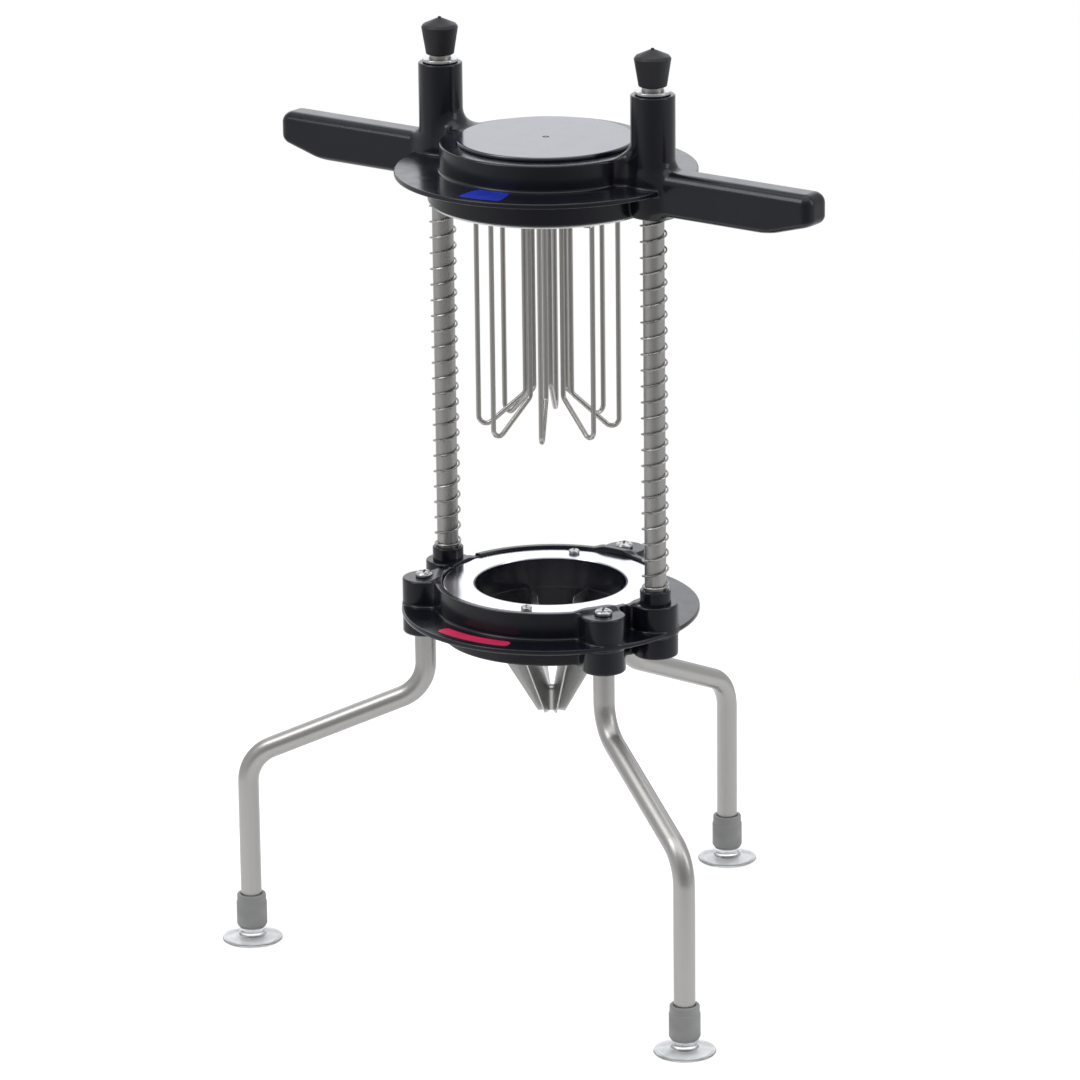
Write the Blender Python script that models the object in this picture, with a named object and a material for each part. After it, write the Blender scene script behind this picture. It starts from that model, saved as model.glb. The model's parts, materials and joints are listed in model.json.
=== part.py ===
"""Tabletop vegetable wedger: a handled pusher head slides down two sprung posts and
drives its wire loops between eight radial blades held in a ring on three legs.

Metres, +Z up. The ring axis is vertical, the handles run along X and the front faces -Y.
The origin lies on the ground under the centre of the whole wedger.
"""

import math

import bmesh
import bpy
from mathutils import Vector

# Clearance that neighbouring pieces keep.
GAP = 0.0003
# How far a cutter runs past the faces it opens.
CUT = 0.0100
# Width of the bevel that breaks a moulded edge.
EDGE = 0.0006
WIDE_EDGE = 0.0010

# Stand: three feet, one behind and two in front, on a circle about the ring axis.
FOOT_CIRCLE_R = 0.1895
LEG_ANGLES = {"left": -150.0, "right": -30.0, "back": 90.0}
LEG_TOP_CIRCLE_R = 0.0775
LEG_R = 0.0065
LEG_BORE_R = 0.0052
LEG_UPPER_BEND_Z = 0.1680
LEG_LOWER_BEND_Z = 0.1200
LEG_BEND_R = 0.0250
AXIS_Y = -FOOT_CIRCLE_R / 4

CUP_R = 0.0187
CUP_RIM_WIDTH = 0.0030
CUP_LIP_THICKNESS = 0.0008
CUP_HOLLOW_Z = 0.0024
CUP_HOLLOW_R = 0.0090
CUP_HOLLOW_SIDE_Z = 0.0019
CUP_SHOULDER_R = 0.0125
CUP_SHOULDER_Z = 0.0026
CUP_NECK_R = 0.0072
CUP_NECK_FOOT_R = 0.0080
CUP_NECK_FOOT_Z = 0.0040
CUP_STUD_R = 0.0040
FERRULE_R = 0.0095
FERRULE_BOTTOM_Z = 0.0080
FERRULE_FLOOR_Z = 0.0135
FERRULE_TOP_Z = 0.0300
FERRULE_TAPER = 0.0013

# Lower ring.
RING_R = 0.0906
RING_BOTTOM_Z = 0.2055
RING_FLANGE_Z = 0.2233
FLANGE_THICKNESS = 0.0030
RING_WALL_R = 0.0705
RING_SKIRT_R = 0.0665
RING_TOP_Z = 0.2398
RING_SKIN = 0.0030
SEAT_Z = 0.2349
SEAT_OUTER_R = 0.0662
SEAT_INNER_R = 0.0520
LEG_BOSS_R = 0.0134
LEG_BOSS_BOTTOM_Z = 0.2045
LEG_BOSS_TOP_Z = 0.2393
LEG_BOSS_CAP = 0.0080
LEG_SCREW_BORE_R = 0.0029
POST_BOSS_R = 0.0137
POST_BOSS_BOTTOM_Z = 0.2061
POST_BOSS_TOP_Z = 0.2387
POST_NOTCH_HALF_WIDTH = 0.0150
POST_NOTCH_FLOOR_Z = 0.2385
POST_BOLT_RECESS_R = 0.0098
POST_BOLT_SEAT_Z = 0.2104

# Blade carrier and blades.
CARRIER_R = 0.0658
CARRIER_FACE_Z = 0.2382
CARRIER_HOLE_R = 0.0461
CARRIER_SKIRT_R = 0.0490
CARRIER_SKIRT_BOTTOM_Z = 0.2195
BLADE_COUNT = 8
BLADE_FIRST_ANGLE = -37.5
BLADE_THICKNESS = 0.0010
BLADE_TOP_OUTER_R = 0.0468
BLADE_TOP_INNER_R = 0.0300
BLADE_TIP_R = 0.0091
BLADE_TIP_Z = 0.1560
BLADE_MEETING_Z = 0.1707
HUB_R = 0.0040
CARRIER_SCREW_CIRCLE_R = 0.0577
CARRIER_SCREW_ANGLES = {"front": -68.6, "back": 111.4}
CARRIER_SCREW_BORE_R = 0.0020
CARRIER_SCREW_BORE_DEPTH = 0.0125

# Posts and return springs.
POST_X = 0.0780
POST_R = 0.0065
POST_BORE_R = 0.0052
POST_BOTTOM_Z = 0.2110
POST_TOP_Z = 0.5565
COLLAR_R = 0.0095
COLLAR_TOP_Z = 0.2471
SPRING_R = 0.0077
SPRING_WIRE_R = 0.0006
SPRING_TURNS = 25
SPRING_STEPS_PER_TURN = 10
SPRING_WIRE_SIDES = 3
SPRING_END_RISE = 0.00138

# Pusher head.
HEAD_R = 0.0909
HEAD_SKIRT_R = 0.0710
HEAD_FLANGE_Z = 0.4970
HEAD_BOTTOM_Z = 0.4785
HEAD_SKIN = 0.0030
DRUM_R = 0.0637
DRUM_TOP_Z = 0.5133
DRUM_OPENING_R = 0.0500
LID_R = 0.0535
LID_TOP_Z = 0.5158
SLEEVE_R = 0.0133
SLEEVE_BORE_R = 0.0090
SLEEVE_BOTTOM_Z = 0.4787
SLEEVE_TOP_Z = 0.5518
BUSH_LENGTH = 0.0180
BUSH_INSET = 0.0010
GRIP_INNER_X = 0.0607
GRIP_NOSE_X = 0.1650
GRIP_END_X = 0.1950
GRIP_HALF_THICKNESS = 0.0108
GRIP_BOTTOM_Z = 0.4814
GRIP_NOSE_Z = 0.4895
GRIP_TOP_Z = 0.5077
GRIP_CHAMFER = 0.0030
# Nose of the grip: distance from its end, share of the half thickness, drop of the top,
# share of the chamfer.
GRIP_NOSE_STEPS = ((0.0085, 0.95, 0.0, 1.0), (0.0030, 0.80, 0.0015, 0.9), (0.0, 0.52, 0.0045, 0.6))

# Pusher plate and wire loops.
PLATE_R = 0.0688
PLATE_THICKNESS = 0.0015
LOOP_COUNT = 8
LOOP_FIRST_ANGLE = -15.0
LOOP_WIRE_R = 0.0015
LOOP_WIRE_SIDES = 6
LOOP_OUTER_R = 0.0426
LOOP_INNER_R = 0.0140
LOOP_OUTER_TIP_Z = 0.3320
LOOP_INNER_TIP_Z = 0.3575
LOOP_BEND_R = 0.0045
PLATE_SCREW_CIRCLE_R = 0.0600
PLATE_SCREW_ANGLES = {"left": -150.0, "right": -30.0, "back": 90.0}
PLATE_BOSS_R = 0.0045
PLATE_SCREW_BORE_R = 0.0022
PLATE_SCREW_BORE_DEPTH = 0.0120

# Caps on the posts.
WASHER_R = 0.0108
WASHER_THICKNESS = 0.0020
KNOB_TOP_Z = 0.5795
KNOB_R = 0.0111
KNOB_BASE_R = 0.0085
KNOB_SHOULDER_DROP = 0.0060
KNOB_CROWN_DROP = 0.0050
KNOB_NIB_R = 0.0012
KNOB_NIB_HEIGHT = 0.0010
KNOB_BORE_R = 0.0043
KNOB_BORE_DEPTH = 0.0100
STUD_R = 0.0040
STUD_PLUG_R = 0.0049
STUD_PLUG_LENGTH = 0.0140
STUD_TOP_CLEARANCE = 0.0006

# Screws: head radius, head height and shank radius, then how far the shank reaches.
CARRIER_SCREW = (0.0034, 0.0022, 0.0016)
CARRIER_SCREW_REACH = 0.0080
LEG_SCREW = (0.0054, 0.0032, 0.0025)
LEG_SCREW_REACH = 0.0200
LEG_SCREW_SLOT_LENGTH = 0.0046
LEG_SCREW_SLOT_WIDTH = 0.0011
LEG_SCREW_SLOT_DEPTH = 0.0012
POST_BOLT = (0.0094, 0.0036, 0.0040)
POST_BOLT_REACH = 0.0200
PLATE_SCREW = (0.0040, 0.0022, 0.0019)
PLATE_SCREW_REACH = 0.0100
# Part of a screw head's height and of its radius where its dome begins.
SCREW_DOME_HEIGHT = 0.45
SCREW_DOME_R = 0.72

# Labels on the flanges: inner and outer radius, direction of the middle, half the sweep.
BASE_LABEL = (0.0765, 0.0858, -89.8, 18.0)
HEAD_LABEL = (0.0664, 0.0868, -81.5, 9.5)
LABEL_THICKNESS = 0.0006
LABEL_STEPS = 6

# Facets of turned pieces.
FINE = 40
MEDIUM = 20
SMALL = 16
TINY = 12

# Colour, roughness and metallic value of each finish.
FINISHES = {
    "black_plastic": ((0.014, 0.014, 0.022), 0.22, 0.0),
    "knob_rubber": ((0.018, 0.018, 0.022), 0.55, 0.0),
    "satin_steel": ((0.60, 0.59, 0.56), 0.30, 1.0),
    "bright_steel": ((0.72, 0.72, 0.72), 0.14, 1.0),
    "spring_steel": ((0.42, 0.41, 0.40), 0.30, 1.0),
    "ferrule_rubber": ((0.33, 0.33, 0.33), 0.60, 0.0),
    "clear_vinyl": ((0.86, 0.88, 0.88), 0.12, 0.0),
    "bush_plastic": ((0.75, 0.74, 0.70), 0.40, 0.0),
    "red_label": ((0.62, 0.01, 0.04), 0.30, 0.0),
    "blue_label": ((0.01, 0.02, 0.35), 0.30, 0.0),
}


def clear_scene():
    for existing in list(bpy.data.objects):
        bpy.data.objects.remove(existing)


def make_finish(name):
    colour, roughness, metallic = FINISHES[name]
    material = bpy.data.materials.new(name)
    material.use_nodes = True
    shader = material.node_tree.nodes["Principled BSDF"]
    shader.inputs["Base Color"].default_value = (*colour, 1.0)
    shader.inputs["Roughness"].default_value = roughness
    shader.inputs["Metallic"].default_value = metallic
    return material


def around(radius, degrees, z=0.0):
    """A point on a circle about the Z axis."""
    angle = math.radians(degrees)
    return Vector((radius * math.cos(angle), radius * math.sin(angle), z))


class Wedger:
    """The whole assembly: an empty on the ring axis that carries every piece."""

    def __init__(self):
        self.finishes = {name: make_finish(name) for name in FINISHES}
        self.frame = bpy.data.objects.new("ring_axis", None)
        self.frame.location = (0.0, AXIS_Y, 0.0)
        bpy.context.collection.objects.link(self.frame)

    def add(self, name, form, finish, place=(0.0, 0.0, 0.0), turn=0.0):
        """One piece from a bmesh; turn is in degrees about Z."""
        bmesh.ops.recalc_face_normals(form, faces=form.faces)
        mesh = bpy.data.meshes.new(name)
        form.to_mesh(mesh)
        form.free()
        mesh.materials.append(self.finishes[finish])
        mesh.shade_smooth()
        mesh.set_sharp_from_angle(angle=math.radians(35.0))
        piece = bpy.data.objects.new(name, mesh)
        piece.location = place
        piece.rotation_euler = (0.0, 0.0, math.radians(turn))
        piece.parent = self.frame
        bpy.context.collection.objects.link(piece)
        return piece

    def tool(self, name, form, place=(0.0, 0.0, 0.0), turn=0.0):
        """A hidden solid that only shapes another piece."""
        piece = self.add(name, form, "black_plastic", place, turn)
        piece.hide_render = True
        piece.display_type = "WIRE"
        return piece


def shape_with(piece, operation, tools):
    """Joins the tools to a piece (UNION) or cuts them all out of it (DIFFERENCE)."""
    group = bpy.data.collections.new(f"{piece.name}_{operation.lower()}")
    for tool in tools:
        group.objects.link(tool)
    step = piece.modifiers.new(group.name, "BOOLEAN")
    step.operation = operation
    step.solver = "EXACT"
    step.operand_type = "COLLECTION"
    step.collection = group


def skin_rings(form, rings, closed):
    """Quads between successive rings of vertices; a ring of one vertex is a pole."""
    pairs = list(zip(rings, rings[1:]))
    if closed:
        pairs.append((rings[-1], rings[0]))
    for lower, upper in pairs:
        count = max(len(lower), len(upper))
        for i in range(count):
            corners = [
                lower[i % len(lower)],
                lower[(i + 1) % len(lower)],
                upper[(i + 1) % len(upper)],
                upper[i % len(upper)],
            ]
            form.faces.new(list(dict.fromkeys(corners)))


def turned(profile, sides):
    """A solid of revolution about Z. The profile runs from axis to axis, or is a closed loop."""
    form = bmesh.new()
    rings = []
    for radius, z in profile:
        if radius == 0.0:
            rings.append([form.verts.new((0.0, 0.0, z))])
        else:
            step = 360.0 / sides
            rings.append([form.verts.new(around(radius, i * step, z)) for i in range(sides)])
    skin_rings(form, rings, closed=profile[0][0] != 0.0)
    return form


def rod(radius, bottom, top, sides):
    return turned([(0.0, bottom), (radius, bottom), (radius, top), (0.0, top)], sides)


def sleeve(inner, outer, bottom, top, sides):
    return turned([(inner, bottom), (outer, bottom), (outer, top), (inner, top)], sides)


def block(low, high):
    form = bmesh.new()
    bmesh.ops.create_cube(form, size=1.0)
    for vertex in form.verts:
        for i in range(3):
            vertex.co[i] = high[i] if vertex.co[i] > 0 else low[i]
    return form


def extruded(outline, offset):
    """A flat outline given thickness along offset."""
    form = bmesh.new()
    face = form.faces.new([form.verts.new(point) for point in outline])
    grown = bmesh.ops.extrude_face_region(form, geom=[face])
    moved = [item for item in grown["geom"] if isinstance(item, bmesh.types.BMVert)]
    bmesh.ops.translate(form, vec=offset, verts=moved)
    return form


def rounded_route(corners, radius, steps):
    """A route through corner points, with an arc in place of each inner corner."""
    route = [Vector(corners[0])]
    for before, corner, after in zip(corners, corners[1:], corners[2:]):
        corner = Vector(corner)
        back = (Vector(before) - corner).normalized()
        ahead = (Vector(after) - corner).normalized()
        half = back.angle(ahead) / 2
        start = corner + back * radius / math.tan(half)
        centre = corner + (back + ahead).normalized() * radius / math.sin(half)
        spoke = start - centre
        swing = (corner + ahead * radius / math.tan(half)) - centre
        sweep = spoke.angle(swing)
        axis = spoke.cross(swing).normalized()
        for i in range(steps + 1):
            angle = sweep * i / steps
            turned_spoke = spoke * math.cos(angle) + axis.cross(spoke) * math.sin(angle)
            route.append(centre + turned_spoke)
    route.append(Vector(corners[-1]))
    return route


def swept(route, sideways, radius, sides, bore=0.0):
    """A round bar along a route; a bore makes it a tube. sideways gives each point's
    direction across the route."""
    form = bmesh.new()
    outer = []
    inner = []
    for i, point in enumerate(route):
        ahead = route[min(i + 1, len(route) - 1)] - route[max(i - 1, 0)]
        across = sideways[i].normalized()
        up = ahead.normalized().cross(across).normalized()
        for store, size in ((outer, radius), (inner, bore)):
            if size == 0.0:
                continue
            ring = []
            for k in range(sides):
                angle = 2 * math.pi * k / sides
                ring.append(form.verts.new(point + size * (across * math.cos(angle) + up * math.sin(angle))))
            store.append(ring)
    if bore:
        skin_rings(form, outer + inner[::-1], closed=True)
        return form
    skin_rings(form, outer, closed=False)
    form.faces.new(outer[0])
    form.faces.new(outer[-1])
    return form


def screw_profile(head_r, head_height, shank_r, seat_z, tip_z):
    """A pan-head screw whose head rests above seat_z, or below it when the tip is above."""
    way = 1.0 if tip_z < seat_z else -1.0
    return [
        (0.0, tip_z),
        (shank_r, tip_z),
        (shank_r, seat_z),
        (head_r, seat_z),
        (head_r, seat_z + way * head_height * SCREW_DOME_HEIGHT),
        (head_r * SCREW_DOME_R, seat_z + way * head_height),
        (0.0, seat_z + way * head_height),
    ]


def cross_slot(wedger, name, place, mouth_z):
    """The two blocks that cut a cross recess into a screw head."""
    arm = (LEG_SCREW_SLOT_LENGTH / 2, LEG_SCREW_SLOT_WIDTH / 2)
    blocks = []
    for i, (x, y) in enumerate((arm, arm[::-1])):
        low = (-x, -y, mouth_z - LEG_SCREW_SLOT_DEPTH)
        high = (x, y, mouth_z + LEG_SCREW_SLOT_DEPTH)
        blocks.append(wedger.tool(f"{name}_slot_{i + 1}", block(low, high), place))
    return blocks


def add_ring(wedger):
    """The moulded lower ring: a skin with a seat for the carrier and bosses for legs and posts."""
    under_flange_z = RING_FLANGE_Z - FLANGE_THICKNESS
    profile = [
        (SEAT_INNER_R, RING_BOTTOM_Z),
        (SEAT_INNER_R, RING_TOP_Z),
        (RING_WALL_R - WIDE_EDGE, RING_TOP_Z),
        (RING_WALL_R, RING_TOP_Z - WIDE_EDGE),
        (RING_WALL_R, RING_FLANGE_Z),
        (RING_R - EDGE, RING_FLANGE_Z),
        (RING_R, RING_FLANGE_Z - EDGE),
        (RING_R, under_flange_z),
        (RING_SKIRT_R, under_flange_z),
        (RING_SKIRT_R, RING_BOTTOM_Z),
        (RING_SKIRT_R - RING_SKIN, RING_BOTTOM_Z),
        (RING_SKIRT_R - RING_SKIN, SEAT_Z - RING_SKIN),
        (SEAT_INNER_R + RING_SKIN, SEAT_Z - RING_SKIN),
        (SEAT_INNER_R + RING_SKIN, RING_BOTTOM_Z),
    ]
    ring = wedger.add("base_ring", turned(profile, FINE), "black_plastic")
    notches = []
    bosses = []
    recess = rod(SEAT_OUTER_R, SEAT_Z, RING_TOP_Z + CUT, FINE)
    bores = [wedger.tool("carrier_recess", recess)]
    for side, angle in CARRIER_SCREW_ANGLES.items():
        place = around(CARRIER_SCREW_CIRCLE_R, angle)
        bore = rod(CARRIER_SCREW_BORE_R, SEAT_Z - CARRIER_SCREW_BORE_DEPTH, SEAT_Z + CUT, TINY)
        bores.append(wedger.tool(f"seat_bore_{side}", bore, place))
    for side, x in (("left", -POST_X), ("right", POST_X)):
        near = math.copysign(SEAT_OUTER_R - RING_SKIN, x)
        far = math.copysign(RING_R, x)
        low = (min(near, far), -POST_NOTCH_HALF_WIDTH, POST_NOTCH_FLOOR_Z)
        high = (max(near, far), POST_NOTCH_HALF_WIDTH, RING_TOP_Z + CUT)
        notches.append(wedger.tool(f"notch_{side}", block(low, high)))
        boss = rod(POST_BOSS_R, POST_BOSS_BOTTOM_Z, POST_BOSS_TOP_Z, MEDIUM)
        bosses.append(wedger.tool(f"post_boss_{side}", boss, (x, 0.0, 0.0)))
        bore = turned(
            [
                (0.0, POST_BOSS_BOTTOM_Z - CUT),
                (POST_BOLT_RECESS_R, POST_BOSS_BOTTOM_Z - CUT),
                (POST_BOLT_RECESS_R, POST_BOLT_SEAT_Z),
                (POST_R + GAP, POST_BOLT_SEAT_Z),
                (POST_R + GAP, POST_BOSS_TOP_Z + CUT),
                (0.0, POST_BOSS_TOP_Z + CUT),
            ],
            SMALL,
        )
        bores.append(wedger.tool(f"post_bore_{side}", bore, (x, 0.0, 0.0)))
    for side, angle in LEG_ANGLES.items():
        place = around(LEG_TOP_CIRCLE_R, angle)
        boss = rod(LEG_BOSS_R, LEG_BOSS_BOTTOM_Z, LEG_BOSS_TOP_Z, MEDIUM)
        bosses.append(wedger.tool(f"leg_boss_{side}", boss, place))
        bore = turned(
            [
                (0.0, LEG_BOSS_BOTTOM_Z - CUT),
                (LEG_R + GAP, LEG_BOSS_BOTTOM_Z - CUT),
                (LEG_R + GAP, LEG_BOSS_TOP_Z - LEG_BOSS_CAP),
                (LEG_SCREW_BORE_R, LEG_BOSS_TOP_Z - LEG_BOSS_CAP),
                (LEG_SCREW_BORE_R, LEG_BOSS_TOP_Z + CUT),
                (0.0, LEG_BOSS_TOP_Z + CUT),
            ],
            SMALL,
        )
        bores.append(wedger.tool(f"leg_bore_{side}", bore, place))
    shape_with(ring, "DIFFERENCE", notches)
    shape_with(ring, "UNION", bosses)
    shape_with(ring, "DIFFERENCE", bores)


def add_carrier(wedger):
    """The disc that holds the blades, with its skirt and two screws."""
    profile = [
        (CARRIER_HOLE_R, CARRIER_SKIRT_BOTTOM_Z),
        (CARRIER_SKIRT_R, CARRIER_SKIRT_BOTTOM_Z),
        (CARRIER_SKIRT_R, SEAT_Z + GAP),
        (CARRIER_R, SEAT_Z + GAP),
        (CARRIER_R, CARRIER_FACE_Z),
        (CARRIER_HOLE_R, CARRIER_FACE_Z),
    ]
    carrier = wedger.add("blade_carrier", turned(profile, FINE), "bright_steel")
    holes = []
    for side, angle in CARRIER_SCREW_ANGLES.items():
        place = around(CARRIER_SCREW_CIRCLE_R, angle)
        hole = rod(CARRIER_SCREW_BORE_R, SEAT_Z - CUT, CARRIER_FACE_Z + CUT, TINY)
        holes.append(wedger.tool(f"carrier_hole_{side}", hole, place))
        shape = screw_profile(*CARRIER_SCREW, CARRIER_FACE_Z + GAP, SEAT_Z - CARRIER_SCREW_REACH)
        wedger.add(f"carrier_screw_{side}", turned(shape, TINY), "bright_steel", place)
    shape_with(carrier, "DIFFERENCE", holes)


def add_blades(wedger):
    """Eight radial blades that slope down to a hub and form a cone of edges."""
    top_z = CARRIER_SKIRT_BOTTOM_Z - GAP
    inner_r = HUB_R + GAP
    side = [
        (inner_r, BLADE_TIP_Z),
        (BLADE_TIP_R, BLADE_TIP_Z),
        (BLADE_TOP_OUTER_R, top_z),
        (BLADE_TOP_INNER_R, top_z),
        (inner_r, BLADE_MEETING_Z),
    ]
    outline = [(r, -BLADE_THICKNESS / 2, z) for r, z in side]
    for i in range(BLADE_COUNT):
        turn = BLADE_FIRST_ANGLE - i * 360.0 / BLADE_COUNT
        form = extruded(outline, (0.0, BLADE_THICKNESS, 0.0))
        wedger.add(f"blade_{i + 1}", form, "bright_steel", turn=turn)
    wedger.add("blade_hub", rod(HUB_R, BLADE_TIP_Z, BLADE_MEETING_Z, SMALL), "bright_steel")


def add_leg(wedger, side, angle):
    """A bent tube from its boss to the ground, with its screw, ferrule and suction cup."""
    top_z = LEG_BOSS_TOP_Z - LEG_BOSS_CAP - GAP
    corners = [
        around(LEG_TOP_CIRCLE_R, angle, top_z),
        around(LEG_TOP_CIRCLE_R, angle, LEG_UPPER_BEND_Z),
        around(FOOT_CIRCLE_R, angle, LEG_LOWER_BEND_Z),
        around(FOOT_CIRCLE_R, angle, FERRULE_FLOOR_Z + GAP),
    ]
    route = rounded_route(corners, LEG_BEND_R, 4)
    sideways = [around(1.0, angle + 90.0)] * len(route)
    form = swept(route, sideways, LEG_R, TINY, bore=LEG_BORE_R)
    wedger.add(f"leg_{side}", form, "satin_steel")

    place = around(LEG_TOP_CIRCLE_R, angle)
    seat_z = LEG_BOSS_TOP_Z + GAP
    shape = screw_profile(*LEG_SCREW, seat_z, LEG_BOSS_TOP_Z - LEG_SCREW_REACH)
    screw = wedger.add(f"leg_screw_{side}", turned(shape, SMALL), "bright_steel", place)
    slots = cross_slot(wedger, f"leg_screw_{side}", place, seat_z + LEG_SCREW[1])
    shape_with(screw, "DIFFERENCE", slots)

    place = around(FOOT_CIRCLE_R, angle)
    ferrule = [
        (CUP_STUD_R + GAP, FERRULE_BOTTOM_Z),
        (FERRULE_R - FERRULE_TAPER, FERRULE_BOTTOM_Z),
        (FERRULE_R, FERRULE_BOTTOM_Z + FERRULE_TAPER),
        (FERRULE_R, FERRULE_TOP_Z - EDGE),
        (FERRULE_R - EDGE, FERRULE_TOP_Z),
        (LEG_R + GAP, FERRULE_TOP_Z),
        (LEG_R + GAP, FERRULE_FLOOR_Z),
        (CUP_STUD_R + GAP, FERRULE_FLOOR_Z),
    ]
    wedger.add(f"ferrule_{side}", turned(ferrule, SMALL), "ferrule_rubber", place)
    neck_top_z = FERRULE_BOTTOM_Z - GAP
    cup = [
        (0.0, CUP_HOLLOW_Z),
        (CUP_HOLLOW_R, CUP_HOLLOW_SIDE_Z),
        (CUP_R - CUP_RIM_WIDTH, 0.0),
        (CUP_R, 0.0),
        (CUP_R, CUP_LIP_THICKNESS),
        (CUP_SHOULDER_R, CUP_SHOULDER_Z),
        (CUP_NECK_FOOT_R, CUP_NECK_FOOT_Z),
        (CUP_NECK_R, neck_top_z),
        (CUP_STUD_R, neck_top_z),
        (CUP_STUD_R, FERRULE_FLOOR_Z - GAP),
        (0.0, FERRULE_FLOOR_Z - GAP),
    ]
    wedger.add(f"suction_cup_{side}", turned(cup, MEDIUM), "clear_vinyl", place)


def spring_form(bottom, top):
    """A compression spring whose end coils lie flat."""
    count = SPRING_TURNS * SPRING_STEPS_PER_TURN
    low = bottom + SPRING_WIRE_R
    high = top - SPRING_WIRE_R
    pitch = (high - low - 2 * SPRING_END_RISE) / (SPRING_TURNS - 2)
    route = []
    sideways = []
    for i in range(count + 1):
        turns = i / SPRING_STEPS_PER_TURN
        if turns <= 1.0:
            z = low + SPRING_END_RISE * turns
        elif turns >= SPRING_TURNS - 1:
            z = high - SPRING_END_RISE * (SPRING_TURNS - turns)
        else:
            z = low + SPRING_END_RISE + pitch * (turns - 1.0)
        route.append(around(SPRING_R, 360.0 * turns, z))
        sideways.append(around(1.0, 360.0 * turns))
    return swept(route, sideways, SPRING_WIRE_R, SPRING_WIRE_SIDES)


def add_post(wedger, side, x):
    """A guide post with its collar, bolt, return spring, stop washer, stud and knob."""
    place = (x, 0.0, 0.0)
    tube = sleeve(POST_BORE_R, POST_R, POST_BOTTOM_Z, POST_TOP_Z, SMALL)
    wedger.add(f"post_{side}", tube, "satin_steel", place)
    collar = sleeve(POST_R + GAP, COLLAR_R, POST_BOSS_TOP_Z + GAP, COLLAR_TOP_Z, SMALL)
    wedger.add(f"post_collar_{side}", collar, "black_plastic", place)
    bolt = screw_profile(*POST_BOLT, POST_BOLT_SEAT_Z - GAP, POST_BOTTOM_Z + POST_BOLT_REACH)
    wedger.add(f"post_bolt_{side}", turned(bolt, TINY), "bright_steel", place)
    spring = spring_form(COLLAR_TOP_Z + GAP, SLEEVE_BOTTOM_Z - GAP)
    wedger.add(f"return_spring_{side}", spring, "spring_steel", place)
    washer_z = SLEEVE_TOP_Z + GAP
    washer = sleeve(POST_R + GAP, WASHER_R, washer_z, washer_z + WASHER_THICKNESS, SMALL)
    wedger.add(f"stop_washer_{side}", washer, "bright_steel", place)
    base_z = POST_TOP_Z + GAP
    bore_top_z = base_z + KNOB_BORE_DEPTH
    stud = [
        (0.0, POST_TOP_Z - STUD_PLUG_LENGTH),
        (STUD_PLUG_R, POST_TOP_Z - STUD_PLUG_LENGTH),
        (STUD_PLUG_R, POST_TOP_Z),
        (STUD_R, POST_TOP_Z),
        (STUD_R, bore_top_z - STUD_TOP_CLEARANCE),
        (0.0, bore_top_z - STUD_TOP_CLEARANCE),
    ]
    wedger.add(f"post_stud_{side}", turned(stud, TINY), "bright_steel", place)
    knob = [
        (0.0, bore_top_z),
        (KNOB_BORE_R, bore_top_z),
        (KNOB_BORE_R, base_z),
        (KNOB_BASE_R, base_z),
        (KNOB_R, KNOB_TOP_Z - KNOB_SHOULDER_DROP),
        (KNOB_R - EDGE, KNOB_TOP_Z - KNOB_CROWN_DROP),
        (KNOB_NIB_R, KNOB_TOP_Z - KNOB_NIB_HEIGHT),
        (KNOB_NIB_R, KNOB_TOP_Z),
        (0.0, KNOB_TOP_Z),
    ]
    wedger.add(f"knob_{side}", turned(knob, SMALL), "knob_rubber", place)


def grip_form(way):
    """One handle grip: a bar with chamfered edges whose nose narrows and slopes up from below."""
    nose_rise = (GRIP_NOSE_Z - GRIP_BOTTOM_Z) / (GRIP_END_X - GRIP_NOSE_X)
    form = bmesh.new()
    rings = []
    stations = [(GRIP_INNER_X, 1.0, 0.0, 1.0), (GRIP_NOSE_X, 1.0, 0.0, 1.0)]
    stations += [(GRIP_END_X - back, *rest) for back, *rest in GRIP_NOSE_STEPS]
    for x, width_share, drop, chamfer_share in stations:
        half_y = GRIP_HALF_THICKNESS * width_share
        high = GRIP_TOP_Z - drop
        chamfer = GRIP_CHAMFER * chamfer_share
        low = GRIP_BOTTOM_Z + max(0.0, x - GRIP_NOSE_X) * nose_rise
        section = [
            (-half_y + chamfer, low),
            (half_y - chamfer, low),
            (half_y, low + chamfer),
            (half_y, high - chamfer),
            (half_y - chamfer, high),
            (-half_y + chamfer, high),
            (-half_y, high - chamfer),
            (-half_y, low + chamfer),
        ]
        rings.append([form.verts.new((way * x, y, z)) for y, z in section])
    skin_rings(form, rings, closed=False)
    form.faces.new(rings[0])
    form.faces.new(rings[-1])
    return form


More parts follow.
